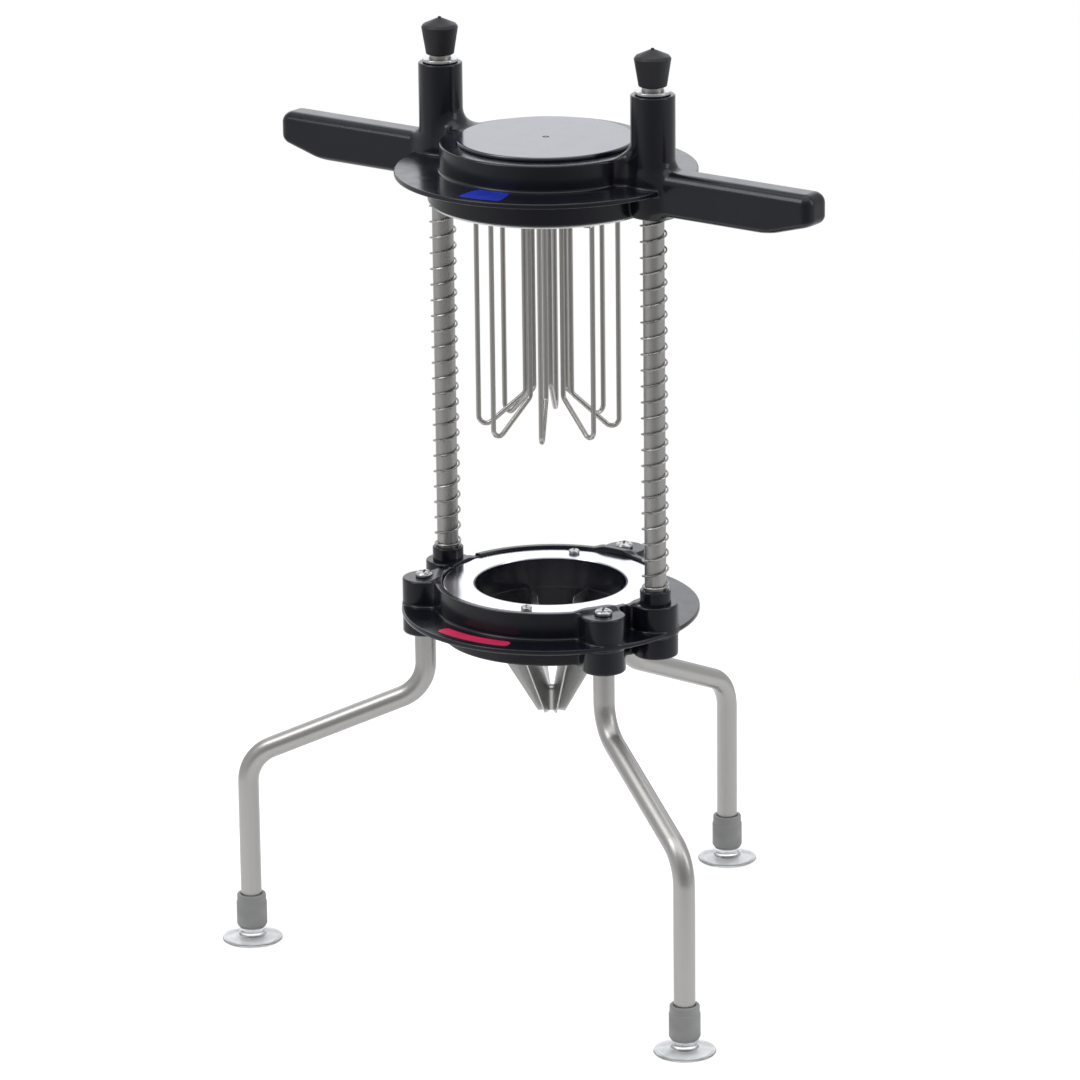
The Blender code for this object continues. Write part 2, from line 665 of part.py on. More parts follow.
def add_head(wedger):
    """The moulded head: flange, drum, two guide sleeves and two grips in one piece."""
    under_flange_z = HEAD_FLANGE_Z - FLANGE_THICKNESS
    profile = [
        (DRUM_OPENING_R, DRUM_TOP_Z),
        (DRUM_R - WIDE_EDGE, DRUM_TOP_Z),
        (DRUM_R, DRUM_TOP_Z - WIDE_EDGE),
        (DRUM_R, HEAD_FLANGE_Z),
        (HEAD_R - EDGE, HEAD_FLANGE_Z),
        (HEAD_R, HEAD_FLANGE_Z - EDGE),
        (HEAD_R, under_flange_z),
        (HEAD_SKIRT_R, under_flange_z),
        (HEAD_SKIRT_R, HEAD_BOTTOM_Z),
        (HEAD_SKIRT_R - HEAD_SKIN, HEAD_BOTTOM_Z),
        (HEAD_SKIRT_R - HEAD_SKIN, under_flange_z),
        (DRUM_R - HEAD_SKIN, under_flange_z),
        (DRUM_R - HEAD_SKIN, DRUM_TOP_Z - HEAD_SKIN),
        (DRUM_OPENING_R, DRUM_TOP_Z - HEAD_SKIN),
    ]
    head = wedger.add("head_body", turned(profile, FINE), "black_plastic")
    additions = []
    bores = []
    for side, way in (("left", -1.0), ("right", 1.0)):
        place = (way * POST_X, 0.0, 0.0)
        additions.append(wedger.tool(f"grip_form_{side}", grip_form(way)))
        column = rod(SLEEVE_R, SLEEVE_BOTTOM_Z, SLEEVE_TOP_Z, MEDIUM)
        additions.append(wedger.tool(f"sleeve_form_{side}", column, place))
        bore = rod(SLEEVE_BORE_R, SLEEVE_BOTTOM_Z - CUT, SLEEVE_TOP_Z + CUT, SMALL)
        bores.append(wedger.tool(f"sleeve_bore_{side}", bore, place))
        bush_bottoms = {
            "lower": SLEEVE_BOTTOM_Z + BUSH_INSET,
            "upper": SLEEVE_TOP_Z - BUSH_INSET - BUSH_LENGTH,
        }
        for level, bottom in bush_bottoms.items():
            bush = sleeve(POST_R + GAP, SLEEVE_BORE_R - GAP, bottom, bottom + BUSH_LENGTH, SMALL)
            wedger.add(f"bush_{level}_{side}", bush, "bush_plastic", place)
    for side, angle in PLATE_SCREW_ANGLES.items():
        place = around(PLATE_SCREW_CIRCLE_R, angle)
        boss = rod(PLATE_BOSS_R, HEAD_BOTTOM_Z, DRUM_TOP_Z - WIDE_EDGE, TINY)
        additions.append(wedger.tool(f"plate_boss_{side}", boss, place))
        bore = rod(PLATE_SCREW_BORE_R, HEAD_BOTTOM_Z - CUT, HEAD_BOTTOM_Z + PLATE_SCREW_BORE_DEPTH, TINY)
        bores.append(wedger.tool(f"plate_bore_{side}", bore, place))
    shape_with(head, "UNION", additions)
    shape_with(head, "DIFFERENCE", bores)

    lid = [
        (0.0, DRUM_TOP_Z - HEAD_SKIN),
        (DRUM_OPENING_R - GAP, DRUM_TOP_Z - HEAD_SKIN),
        (DRUM_OPENING_R - GAP, DRUM_TOP_Z + GAP),
        (LID_R, DRUM_TOP_Z + GAP),
        (LID_R, LID_TOP_Z - EDGE),
        (LID_R - EDGE, LID_TOP_Z),
        (0.0, LID_TOP_Z),
    ]
    wedger.add("head_lid", turned(lid, FINE), "black_plastic")


def add_pusher(wedger):
    """The plate under the head, its screws, and the wire loops that stand on it."""
    plate_top_z = HEAD_BOTTOM_Z - GAP
    plate_bottom_z = plate_top_z - PLATE_THICKNESS
    plate = wedger.add("pusher_plate", rod(PLATE_R, plate_bottom_z, plate_top_z, FINE), "bright_steel")
    cuts = []
    for side, angle in PLATE_SCREW_ANGLES.items():
        place = around(PLATE_SCREW_CIRCLE_R, angle)
        hole = rod(PLATE_SCREW_BORE_R, plate_bottom_z - CUT, plate_top_z + CUT, TINY)
        cuts.append(wedger.tool(f"plate_hole_{side}", hole, place))
        shape = screw_profile(*PLATE_SCREW, plate_bottom_z - GAP, HEAD_BOTTOM_Z + PLATE_SCREW_REACH)
        wedger.add(f"plate_screw_{side}", turned(shape, TINY), "bright_steel", place)
    shape_with(plate, "DIFFERENCE", cuts)

    top_z = plate_bottom_z - GAP
    corners = [
        (LOOP_OUTER_R, 0.0, top_z),
        (LOOP_OUTER_R, 0.0, LOOP_OUTER_TIP_Z),
        (LOOP_INNER_R, 0.0, LOOP_INNER_TIP_Z),
        (LOOP_INNER_R, 0.0, top_z),
    ]
    for i in range(LOOP_COUNT):
        route = rounded_route(corners, LOOP_BEND_R, 3)
        sideways = [Vector((0.0, 1.0, 0.0))] * len(route)
        form = swept(route, sideways, LOOP_WIRE_R, LOOP_WIRE_SIDES)
        turn = LOOP_FIRST_ANGLE - i * 360.0 / LOOP_COUNT
        wedger.add(f"pusher_loop_{i + 1}", form, "satin_steel", turn=turn)


def label_form(inner_r, outer_r, centre, half_sweep, bottom):
    """A thin pad that follows the flange's edge."""
    shares = [2.0 * i / LABEL_STEPS - 1.0 for i in range(LABEL_STEPS + 1)]
    angles = [centre + half_sweep * share for share in shares]
    outline = [around(outer_r, angle, bottom) for angle in angles]
    outline += [around(inner_r, angle, bottom) for angle in reversed(angles)]
    return extruded(outline, (0.0, 0.0, LABEL_THICKNESS))


def add_labels(wedger):
    """The plain labels on the front of the two flanges."""
    base = label_form(*BASE_LABEL, RING_FLANGE_Z + GAP)
    wedger.add("base_label", base, "red_label")
    head = label_form(*HEAD_LABEL, HEAD_FLANGE_Z + GAP)
    wedger.add("head_label", head, "blue_label")


def main():
    clear_scene()
    wedger = Wedger()
    add_ring(wedger)
    add_carrier(wedger)
    add_blades(wedger)
    for side, angle in LEG_ANGLES.items():
        add_leg(wedger, side, angle)
    for side, x in (("left", -POST_X), ("right", POST_X)):
        add_post(wedger, side, x)
    add_head(wedger)
    add_pusher(wedger)
    add_labels(wedger)


main()
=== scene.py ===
"""Looks of the vegetable wedger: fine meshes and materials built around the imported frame.

Metres, +Z up, in the frame's axes. Places and main sizes come from the frame's boxes;
the constants below are details of form. A piece that stands on the ring axis, on a post
or on a foot is modelled about its own Z axis and then moved there. A turned piece is a
list of (radius, z, corner radius) points.
"""

import itertools
import json
import math

import bmesh
import bpy
import numpy as np
from mathutils import Matrix, Vector


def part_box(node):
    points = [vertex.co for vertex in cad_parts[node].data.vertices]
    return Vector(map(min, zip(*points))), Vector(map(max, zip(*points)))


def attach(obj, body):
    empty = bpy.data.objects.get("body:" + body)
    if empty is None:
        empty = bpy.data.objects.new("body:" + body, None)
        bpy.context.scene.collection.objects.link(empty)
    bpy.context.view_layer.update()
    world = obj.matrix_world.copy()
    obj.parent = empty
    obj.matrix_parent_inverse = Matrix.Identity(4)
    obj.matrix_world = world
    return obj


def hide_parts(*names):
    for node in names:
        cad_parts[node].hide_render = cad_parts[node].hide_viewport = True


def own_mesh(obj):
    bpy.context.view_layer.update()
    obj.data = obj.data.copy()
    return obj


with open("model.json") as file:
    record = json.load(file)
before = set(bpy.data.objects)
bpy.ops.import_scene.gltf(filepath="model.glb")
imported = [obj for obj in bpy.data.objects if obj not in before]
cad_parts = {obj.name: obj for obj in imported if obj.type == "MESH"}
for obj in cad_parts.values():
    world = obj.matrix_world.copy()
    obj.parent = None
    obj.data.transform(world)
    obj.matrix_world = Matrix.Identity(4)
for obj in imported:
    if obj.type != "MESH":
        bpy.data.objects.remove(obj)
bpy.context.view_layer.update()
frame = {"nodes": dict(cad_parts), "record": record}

# ---------------------------------------------------------------- places from the frame


def low(node):
    """The lowest corner of a node's box."""
    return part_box(node)[0]


def high(node):
    """The highest corner of a node's box."""
    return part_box(node)[1]


def middle(node):
    """The middle of a node's box."""
    return (low(node) + high(node)) / 2


def upright_axis(node):
    """The foot of the Z axis that a node stands on."""
    spot = middle(node)
    return Vector((spot.x, spot.y, 0.0))


def half_width(node):
    """Half a round node's size along X."""
    return (high(node).x - low(node).x) / 2


def half_depth(node):
    """Half a node's size along Y."""
    return (high(node).y - low(node).y) / 2


SIDES = ("left", "right")
LEG_ANGLES = {"left": -150.0, "right": -30.0, "back": 90.0}
AXIS = Vector((0.0, middle("blade_hub").y, 0.0))
POST_X = middle("post_right").x
GAP = 0.0003
CLOSE_GAP = 0.0002

# Moulded lower ring.
RING_R = half_depth("base_ring")
RING_TOP = high("base_ring").z
RING_FOOT = 0.2055
RING_WALL_R = 0.0705
RING_SKIRT_R = 0.0665
RING_FLANGE_TOP = low("base_label").z - GAP
FLANGE_THICKNESS = 0.0030
WALL_DEPTH_IN_FLANGE = 0.0020
SKIN = 0.0030
LEG_BOSS_CIRCLE_R = (middle("leg_screw_back") - AXIS).y
LEG_BOSS_R = 0.0134
LEG_BOSS_FOOT = low("base_ring").z
LEG_BOSS_TOP = 0.2393
POST_BOSS_R = 0.0137
POST_BOSS_FOOT = 0.2061
POST_BOSS_TOP = low("post_collar_left").z - GAP
POST_BORE_R = 0.0068
POST_BOLT_RECESS_R = 0.0098
POST_BOLT_SEAT_Z = 0.2104
NOTCH_HALF_WIDTH = 0.0150
NOTCH_FLOOR = 0.2386
BELOW_RING = 0.1
ABOVE_RING = 0.3

# Moulded head.
HEAD_R = half_depth("head_body")
HEAD_BOTTOM = low("head_body").z
HEAD_FLANGE_TOP = low("head_label").z - GAP
HEAD_SKIRT_R = 0.0710
SKIRT_DEPTH_IN_FLANGE = 0.0010
DRUM_R = 0.0637
DRUM_RISE = 0.0100
DRUM_TOP = 0.5133
DRUM_OPENING_R = 0.0500
SLEEVE_R = 0.0133
SLEEVE_BORE_R = 0.0090
SLEEVE_TOP = high("head_body").z
GRIP_HALF_THICKNESS = 0.0108
GRIP_FOOT = 0.4812
GRIP_TOP = 0.5077
GRIP_ROOT_X = 0.0500
GRIP_NOSE_X = 0.1650
GRIP_NOSE_RISE = 0.0085
GRIP_END_X = high("head_body").x
BELOW_HEAD = 0.4
ABOVE_HEAD = 0.6

# Lid on the drum.
LID_TOP = high("head_lid").z
LID_PLUG_R = DRUM_OPENING_R - 0.0004
LID_MARK_R = 0.0021
LID_MARK_DEPTH = 0.0004
LID_NUB_R = 0.0009
LID_NUB_DEPTH = 0.0001

# Blade holder and blades.
CARRIER_R = half_width("blade_carrier")
CARRIER_FACE = high("blade_carrier").z
CARRIER_HOLE_R = 0.0461
CARRIER_SKIRT_R = 0.0490
CARRIER_LINING = 0.0005
SEAT_Z = CARRIER_FACE - 0.0033
SEAT_OUTER_R = CARRIER_R + 0.0004
SEAT_INNER_R = 0.0520
BLADES = 8
FIRST_BLADE_ANGLE = -37.5
BLADE_HALF_THICKNESS = 0.0005
BLADE_EDGE_HALF_THICKNESS = 0.00008
BLADE_FOOT_R = 0.0091
BLADE_TOP_R = 0.0468
BLADE_MOUTH_R = 0.0300
BLADE_IN_HUB = 0.0010
BLADE_GROUND_WIDTH = 0.0055
BLADE_GROUND_DROP = 0.0060
HUB_CROWN = 0.0012

# Screws: head radius and recess length of each kind. The other sizes are shares of the
# head radius, but the recess's width is a share of its length and its turn is in radians.
LEG_SCREW = (0.0054, 0.0062)
CARRIER_SCREW = (0.0034, 0.0038)
SCREW_HEAD_HEIGHT = 0.60
SCREW_SHANK = 0.46
SCREW_RIM_DROP = 0.25
SCREW_RIM_CORNER = 0.22
SCREW_CROWN = 0.66
SCREW_CROWN_CORNER = 0.5
RECESS_WIDTH = 0.11
RECESS_DEPTH = 0.28
RECESS_TURN = 0.5

# Legs and feet.
TUBE_R = 0.0065
TUBE_BORE_R = 0.0052
LEG_UPPER_BEND_Z = 0.1680
LEG_LOWER_BEND_Z = 0.1200
LEG_BEND_R = 0.0250
LEG_BEND_STEPS = 16
TUBE_FIT_R = 0.0067
FERRULE_BORE_R = 0.0043
FERRULE_FLOOR = 0.0135
FERRULE_TAPER = 0.0013
FERRULE_TAPER_TOP = 0.0022
FERRULE_STEP = 0.0005
FERRULE_STEP_DROP = 0.0055
CUP_HOLLOW_Z = 0.0024
CUP_HOLLOW_SIDE = (0.0090, 0.0019)
CUP_LIP_WIDTH = 0.0030
CUP_SHOULDER = (0.0125, 0.0027)
CUP_NECK_FOOT = (0.0079, 0.0038)
CUP_NECK_R = 0.0072
CUP_STUD_R = 0.0040
CUP_STUD_TOP = 0.0132

# Springs, knobs and studs on the posts.
SPRING_R = 0.0077
SPRING_WIRE_R = 0.0006
SPRING_TURNS = 25
SPRING_STEPS_PER_TURN = 28
SPRING_END_RISE = 0.00138
KNOB_BORE_DEPTH = 0.0100
KNOB_BORE_R = 0.0043
KNOB_FOOT_R = 0.0084
KNOB_WIDEST_DROP = 0.0062
KNOB_CROWN_DROP = 0.0046
KNOB_CROWN_INSET = 0.0012
KNOB_NIB_R = 0.0010
KNOB_NIB_HEIGHT = 0.0010
STUD_PLUG_R = 0.0049
STUD_CREST_R = 0.0040
STUD_ROOT_R = 0.0034
STUD_PITCH = 0.00125

# Pusher plate and its wire loops.
PLATE_R = half_width("pusher_plate")
LOOPS = 8
FIRST_LOOP_ANGLE = -15.0
LOOP_OUTER_R = 0.0426
LOOP_INNER_R = 0.0140
LOOP_OUTER_FOOT = 0.3320
LOOP_INNER_FOOT = 0.3575
LOOP_BEND_R = 0.0045
LOOP_BEND_STEPS = 10
LOOP_WIRE_R = 0.0015
WELD_R = 0.0028
WELD_HEIGHT = 0.0012

# Labels: inner and outer radius, middle angle and half sweep in degrees.
RED_LABEL = (0.0770, 0.0855, -89.8, 18.0)
BLUE_LABEL = (0.0669, 0.0865, -81.5, 9.5)
LABEL_THICKNESS = 0.0003
LABEL_LIFT = 0.0001
LABEL_STEPS = 24
LABEL_CORNER_SHARE = 0.07
LABEL_CORNER_DEPTH = 0.75

# Camera and floor.
CAMERA_AZIMUTH = 36.29
CAMERA_ELEVATION = 17.43
CAMERA_ROLL = -0.66
CAMERA_DISTANCE = 3.608748
CAMERA_LENS = 200.0
CAMERA_SENSOR = 36.0
CAMERA_CLIP_END = 20.0
AIM_Z = 0.3875
AIM_LEFT_SHIFT = 0.006201
AIM_DOWN_SHIFT = 0.117559
FLOOR_R = 0.62
FLOOR_SIDES = 128

# Lamps, and the world's strength: dark towards the camera, bright from a little aside on.
LAMP_AIM_Z = 0.35
SUN_STRENGTH = 1.3
SUN_ANGLE = 1.2
WORLD_DARK = 0.42
WORLD_BRIGHT = 0.85
WORLD_DARK_UP_TO = -0.97
WORLD_BRIGHT_FROM = -0.45

# Fineness of the meshes.
CELL = 0.0007
FIELD_MARGIN = Vector((0.003, 0.003, 0.003))
FIELD_STEP = 0.00005
HEAD_KEEP = 0.30
RING_KEEP = 0.40
SHARP_ANGLE = 40.0
LARGE_ROUND = 160
MEDIUM_ROUND = 96
SMALL_ROUND = 64
NARROW_ROUND = 48
TUBE_ROUND = 40
STUD_ROUND = 32
WIRE_ROUND = 16
SPRING_ROUND = 8
CORNER_STEPS = 5
BRACED_RUN = 0.0020
BRACE = 0.0004
ON_AXIS = 1e-7

# ---------------------------------------------------------------- materials

# The part of its range that noise mostly stays in.
NOISE_LOW = 0.3
NOISE_HIGH = 0.7

# Scale and detail of the noises: a larger scale is finer.
CLOUD_SCALE = 35.0
GLOSS_SCALE = 90.0
SKIN_DETAIL = 2.0
GRAIN_DETAIL = 5.0
VINYL_CLOUD_SCALE = 120.0
FLOOR_CLOUD_SCALE = 0.6

# Lowest and highest share of a finish's colour or roughness that its noise reaches.
MOULDED_SPREAD = (0.80, 1.25)
STEEL_TINT_SPREAD = (0.965, 1.03)
STEEL_GLOSS_SPREAD = (0.92, 1.10)

# Heights of the bumps.
SKIN_DEPTH = 0.0003
GRAIN_DEPTH = 0.0001
VINYL_DEPTH = 0.0004


class Nodes:
    """A small helper that adds and links the nodes of one material."""

    def __init__(self, name):
        self.material = bpy.data.materials.new(name)
        self.material.use_nodes = True
        self.tree = self.material.node_tree
        self.shader = self.tree.nodes["Principled BSDF"]

    def add(self, kind):
        return self.tree.nodes.new(kind)

    def link(self, source, target):
        self.tree.links.new(source, target)

    def noise(self, scale, detail=3.0, stretch=(1.0, 1.0, 1.0)):
        """Noise in object space, between 0 and 1; stretch scales the three axes."""
        place = self.add("ShaderNodeTexCoord")
        mapping = self.add("ShaderNodeMapping")
        mapping.inputs["Scale"].default_value = stretch
        texture = self.add("ShaderNodeTexNoise")
        texture.inputs["Scale"].default_value = scale
        texture.inputs["Detail"].default_value = detail
        self.link(place.outputs["Object"], mapping.inputs["Vector"])
        self.link(mapping.outputs["Vector"], texture.inputs["Vector"])
        return texture.outputs["Fac"]

    def roughness(self, factor, first, second):
        """Roughness that runs between two numbers over most of the factor's spread."""
        spread = self.add("ShaderNodeMapRange")
        spread.inputs["From Min"].default_value = NOISE_LOW
        spread.inputs["From Max"].default_value = NOISE_HIGH
        spread.inputs["To Min"].default_value = first
        spread.inputs["To Max"].default_value = second
        self.link(factor, spread.inputs["Value"])
        self.link(spread.outputs["Result"], self.shader.inputs["Roughness"])

    def tint(self, factor, first, second):
        """Base colour that runs between two colours with the factor."""
        ramp = self.add("ShaderNodeValToRGB")
        start, end = ramp.color_ramp.elements
        start.position = NOISE_LOW
        end.position = NOISE_HIGH
        start.color = (*first, 1.0)
        end.color = (*second, 1.0)
        self.link(factor, ramp.inputs["Fac"])
        self.link(ramp.outputs["Color"], self.shader.inputs["Base Color"])

    def bump(self, factor, strength, distance):
        node = self.add("ShaderNodeBump")
        node.inputs["Strength"].default_value = strength
        node.inputs["Distance"].default_value = distance
        self.link(factor, node.inputs["Height"])
        self.link(node.outputs["Normal"], self.shader.inputs["Normal"])

    def set(self, **sockets):
        """Values that are the same all over the surface."""
        for key, value in sockets.items():
            self.shader.inputs[key.replace("_", " ")].default_value = value


def scaled(colour, share):
    return tuple(channel * share for channel in colour)


def moulded(name, colour, roughness, grain, bump, specular):
    """Moulded plastic or rubber: faint cloudiness, uneven gloss and a fine skin."""
    nodes = Nodes(name)
    least, most = MOULDED_SPREAD
    nodes.tint(nodes.noise(CLOUD_SCALE), scaled(colour, least), scaled(colour, most))
    nodes.roughness(nodes.noise(GLOSS_SCALE), roughness * least, roughness * most)
    nodes.bump(nodes.noise(grain, SKIN_DETAIL), bump, SKIN_DEPTH)
    nodes.set(Specular_IOR_Level=specular)
    return nodes.material


def steel(name, colour, roughness, stretch, grain, bump):
    """Worked steel whose grain is drawn out along the axis with the small stretch."""
    nodes = Nodes(name)
    lines = nodes.noise(grain, GRAIN_DETAIL, stretch)
    darkest, palest = STEEL_TINT_SPREAD
    smoothest, roughest = STEEL_GLOSS_SPREAD
    nodes.tint(lines, scaled(colour, darkest), scaled(colour, palest))
    nodes.roughness(lines, roughness * smoothest, roughness * roughest)
    nodes.bump(lines, bump, GRAIN_DEPTH)
    nodes.set(Metallic=1.0)
    return nodes.material


def clear_vinyl(name):
    """Clear soft plastic, faintly clouded."""
    nodes = Nodes(name)
    cloud = nodes.noise(VINYL_CLOUD_SCALE)
    nodes.tint(cloud, (0.84, 0.86, 0.86), (0.96, 0.97, 0.97))
    nodes.roughness(cloud, 0.06, 0.16)
    nodes.bump(cloud, 0.08, VINYL_DEPTH)
    nodes.set(Transmission_Weight=0.92, IOR=1.40)
    return nodes.material


# How each steel's grain is stretched along X, Y and Z.
EVEN = (1.0, 1.0, 1.0)
ALONG_Z = (6.0, 6.0, 0.08)
ALONG_Y = (12.0, 0.6, 1.0)
DOWN_THE_PLATE = (1.0, 1.0, 4.0)

# Slot: colour, roughness, scale of the skin, strength of its bump, specular level.
MOULDED = {
    "black_plastic": ((0.0045, 0.0048, 0.0085), 0.20, 700.0, 0.04, 0.30),
    "lid_plastic": ((0.010, 0.011, 0.022), 0.13, 500.0, 0.03, 0.85),
    "knob_rubber": ((0.012, 0.012, 0.015), 0.50, 1500.0, 0.20, 0.30),
    "ferrule_rubber": ((0.20, 0.20, 0.20), 0.55, 1200.0, 0.25, 0.35),
    "bush_plastic": ((0.70, 0.69, 0.64), 0.40, 900.0, 0.05, 0.50),
    "red_label": ((0.52, 0.022, 0.085), 0.22, 300.0, 0.04, 0.50),
    "blue_label": ((0.008, 0.020, 0.27), 0.22, 300.0, 0.04, 0.50),
}
# Slot: colour, roughness, stretch of the grain, its scale, strength of its bump.
STEELS = {
    "carrier_steel": ((0.55, 0.55, 0.60), 0.15, EVEN, 40.0, 0.010),
    "blade_steel": ((0.42, 0.42, 0.41), 0.30, DOWN_THE_PLATE, 60.0, 0.008),
    "fastener_steel": ((0.42, 0.42, 0.415), 0.24, EVEN, 200.0, 0.008),
    "tube_steel": ((0.335, 0.328, 0.315), 0.34, ALONG_Z, 220.0, 0.008),
    "wire_steel": ((0.35, 0.335, 0.315), 0.28, ALONG_Z, 220.0, 0.008),
    "plate_steel": ((0.66, 0.66, 0.66), 0.22, ALONG_Y, 220.0, 0.008),
    "spring_steel": ((0.30, 0.295, 0.285), 0.28, EVEN, 300.0, 0.008),
}
FINISHES = {slot: moulded(slot, *values) for slot, values in MOULDED.items()}
FINISHES.update({slot: steel(slot, *values) for slot, values in STEELS.items()})
FINISHES["clear_vinyl"] = clear_vinyl("clear_vinyl")

# ---------------------------------------------------------------- mesh tools


def on_circle(radius, angle, z=0.0):
    """A point at a radius and an angle in radians about Z."""
    return Vector((radius * math.cos(angle), radius * math.sin(angle), z))


def rounded(points, steps=CORNER_STEPS):
    """A smooth outline: each point is (x, y, ..., radius), and a radius puts an arc there."""
    path = []
    count = len(points)
    for i, (*spot, radius) in enumerate(points):
        corner = Vector(spot)
        if radius == 0.0 or i in (0, count - 1):
            path.append(corner)
            continue
        back = (Vector(points[i - 1][:-1]) - corner).normalized()
        ahead = (Vector(points[i + 1][:-1]) - corner).normalized()
        half = back.angle(ahead) / 2
        start = corner + back * radius / math.tan(half)
        centre = corner + (back + ahead).normalized() * radius / math.sin(half)
        end = corner + ahead * radius / math.tan(half)
        first = start - centre
        last = end - centre
        sweep = first.angle(last)
        for k in range(steps + 1):
            share = k / steps
            blend = first * math.sin((1 - share) * sweep) + last * math.sin(share * sweep)
            path.append(centre + blend / math.sin(sweep))
    return path


def piece(name, form, slot, body, place=Vector(), replaces=()):
    """A shown piece from a bmesh: its place, finish, body and the nodes it stands for."""
    bmesh.ops.recalc_face_normals(form, faces=form.faces)
    mesh = bpy.data.meshes.new(name)
    form.to_mesh(mesh)
    form.free()
    mesh.shade_smooth()
    mesh.set_sharp_from_angle(angle=math.radians(SHARP_ANGLE))
    return settle(name, mesh, slot, body, place, replaces)


def settle(name, mesh, slot, body, place, replaces):
    """A shown piece from a finished mesh."""
    mesh.materials.append(FINISHES[slot])
    thing = bpy.data.objects.new(name, mesh)
    thing.location = place
    bpy.context.collection.objects.link(thing)
    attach(thing, body)
    if replaces:
        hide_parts(*replaces)
    return thing


def skinned(form, rings, closed):
    """Quads between successive rings of vertices; a ring of one vertex is a pole."""
    pairs = list(zip(rings, rings[1:]))
    if closed:
        pairs.append((rings[-1], rings[0]))
    for lower, upper in pairs:
        for i in range(max(len(lower), len(upper))):
            corners = [
                lower[i % len(lower)],
                lower[(i + 1) % len(lower)],
                upper[(i + 1) % len(upper)],
                upper[i % len(upper)],
            ]
            form.faces.new(list(dict.fromkeys(corners)))


def braced(path):
    """The same outline with a point close to both ends of each long straight run, so that
    smooth shading stays inside the corners."""
    dense = [path[0]]
    for before, after in zip(path, path[1:]):
        run = after - before
        if run.length > BRACED_RUN:
            dense.append(before + run.normalized() * BRACE)
            dense.append(after - run.normalized() * BRACE)
        dense.append(after)
    return dense


def turned(points, sides):
    """A solid of revolution about Z from (radius, z, corner radius) points. The outline runs
    from axis to axis, or closes on itself."""
    form = bmesh.new()
    closed = points[0][0] != 0.0
    if closed:
        path = rounded([points[-1], *points, points[0]])[1:-1]
    else:
        path = rounded(points)
    rings = []
    for radius, z in braced(path):
        if radius < ON_AXIS:
            rings.append([form.verts.new((0.0, 0.0, z))])
            continue
        spots = [on_circle(radius, 2 * math.pi * i / sides, z) for i in range(sides)]
        rings.append([form.verts.new(spot) for spot in spots])
    skinned(form, rings, closed)
    return form


def swept(path, radius, sides, bore=0.0, across=None):
    """A round bar, or a tube, along a path. across is the direction kept sideways."""
    form = bmesh.new()
    outer = []
    inner = []
    side = across
    for i, point in enumerate(path):
        ahead = (path[min(i + 1, len(path) - 1)] - path[max(i - 1, 0)]).normalized()
        if side is None:
            side = ahead.orthogonal().normalized()
        side = (side - ahead * side.dot(ahead)).normalized()
        up = ahead.cross(side)
        for store, size in ((outer, radius), (inner, bore)):
            if size == 0.0:
                continue
            ring = []
            for k in range(sides):
                angle = 2 * math.pi * k / sides
                ring.append(form.verts.new(point + size * (side * math.cos(angle) + up * math.sin(angle))))
            store.append(ring)
    if bore:
        skinned(form, outer + inner[::-1], closed=True)
        return form
    skinned(form, outer, closed=False)
    form.faces.new(outer[0])
    form.faces.new(outer[-1])
    return form


def merged(*forms):
    """One bmesh from several."""
    whole = bmesh.new()
    for form in forms:
        mesh = bpy.data.meshes.new("part_of_piece")
        form.to_mesh(mesh)
        form.free()
        whole.from_mesh(mesh)
        bpy.data.meshes.remove(mesh)
    return whole


def evaluated_mesh(thing):
    """A new mesh of the object with its modifiers applied."""
    graph = bpy.context.evaluated_depsgraph_get()
    return bpy.data.meshes.new_from_object(thing.evaluated_get(graph))


# ---------------------------------------------------------------- distance fields


def joined(a, b, fillet):
    """Union of two fields with a round fillet in the crease."""
    away = np.hypot(np.maximum(fillet - a, 0.0), np.maximum(fillet - b, 0.0))
    return np.maximum(fillet, np.minimum(a, b)) - away


def cut(a, b, edge):
    """Field a without b, with the new edge rounded."""
    return -joined(-a, b, edge)


def common(a, b, edge):
    """What two fields share, with the edge rounded."""
    return -joined(-a, -b, edge)


def upright(radial, z, radius, bottom, top, edge):
    """An upright cylinder with rounded rims, from the distance to its axis."""
    return common(radial - radius, np.abs(z - (bottom + top) / 2) - (top - bottom) / 2, edge)


def gradient(field, points):
    """The field's slope along X, Y and Z at each point."""
    columns = []
    for i in range(3):
        shift = np.zeros(3)
        shift[i] = FIELD_STEP
        ahead = field(*(points + shift).T)
        behind = field(*(points - shift).T)
        columns.append((ahead - behind) / (2 * FIELD_STEP))
    return np.stack(columns, axis=1)


def onto_surface(field, points, rounds):
    """Each point moved along the slope until the field there is about zero."""
    least_slope = 0.05
    for _ in range(rounds):
        slope = gradient(field, points)
        size = np.maximum((slope**2).sum(axis=1, keepdims=True), least_slope)
        move = -field(*points.T)[:, None] * slope / size
        points = points + np.clip(move, -CELL, CELL)
    return points


def relaxed(points, quads):
    """Each point moved half way to the mean of its neighbours."""
    total = np.zeros_like(points)
    count = np.zeros(len(points))
    for k in range(4):
        ends = (quads[:, k], quads[:, (k + 1) % 4])
        for here, there in (ends, ends[::-1]):
            count += np.bincount(here, minlength=len(points))
            for axis in range(3):
                total[:, axis] += np.bincount(here, points[there, axis], len(points))
    return (points + total / count[:, None]) / 2


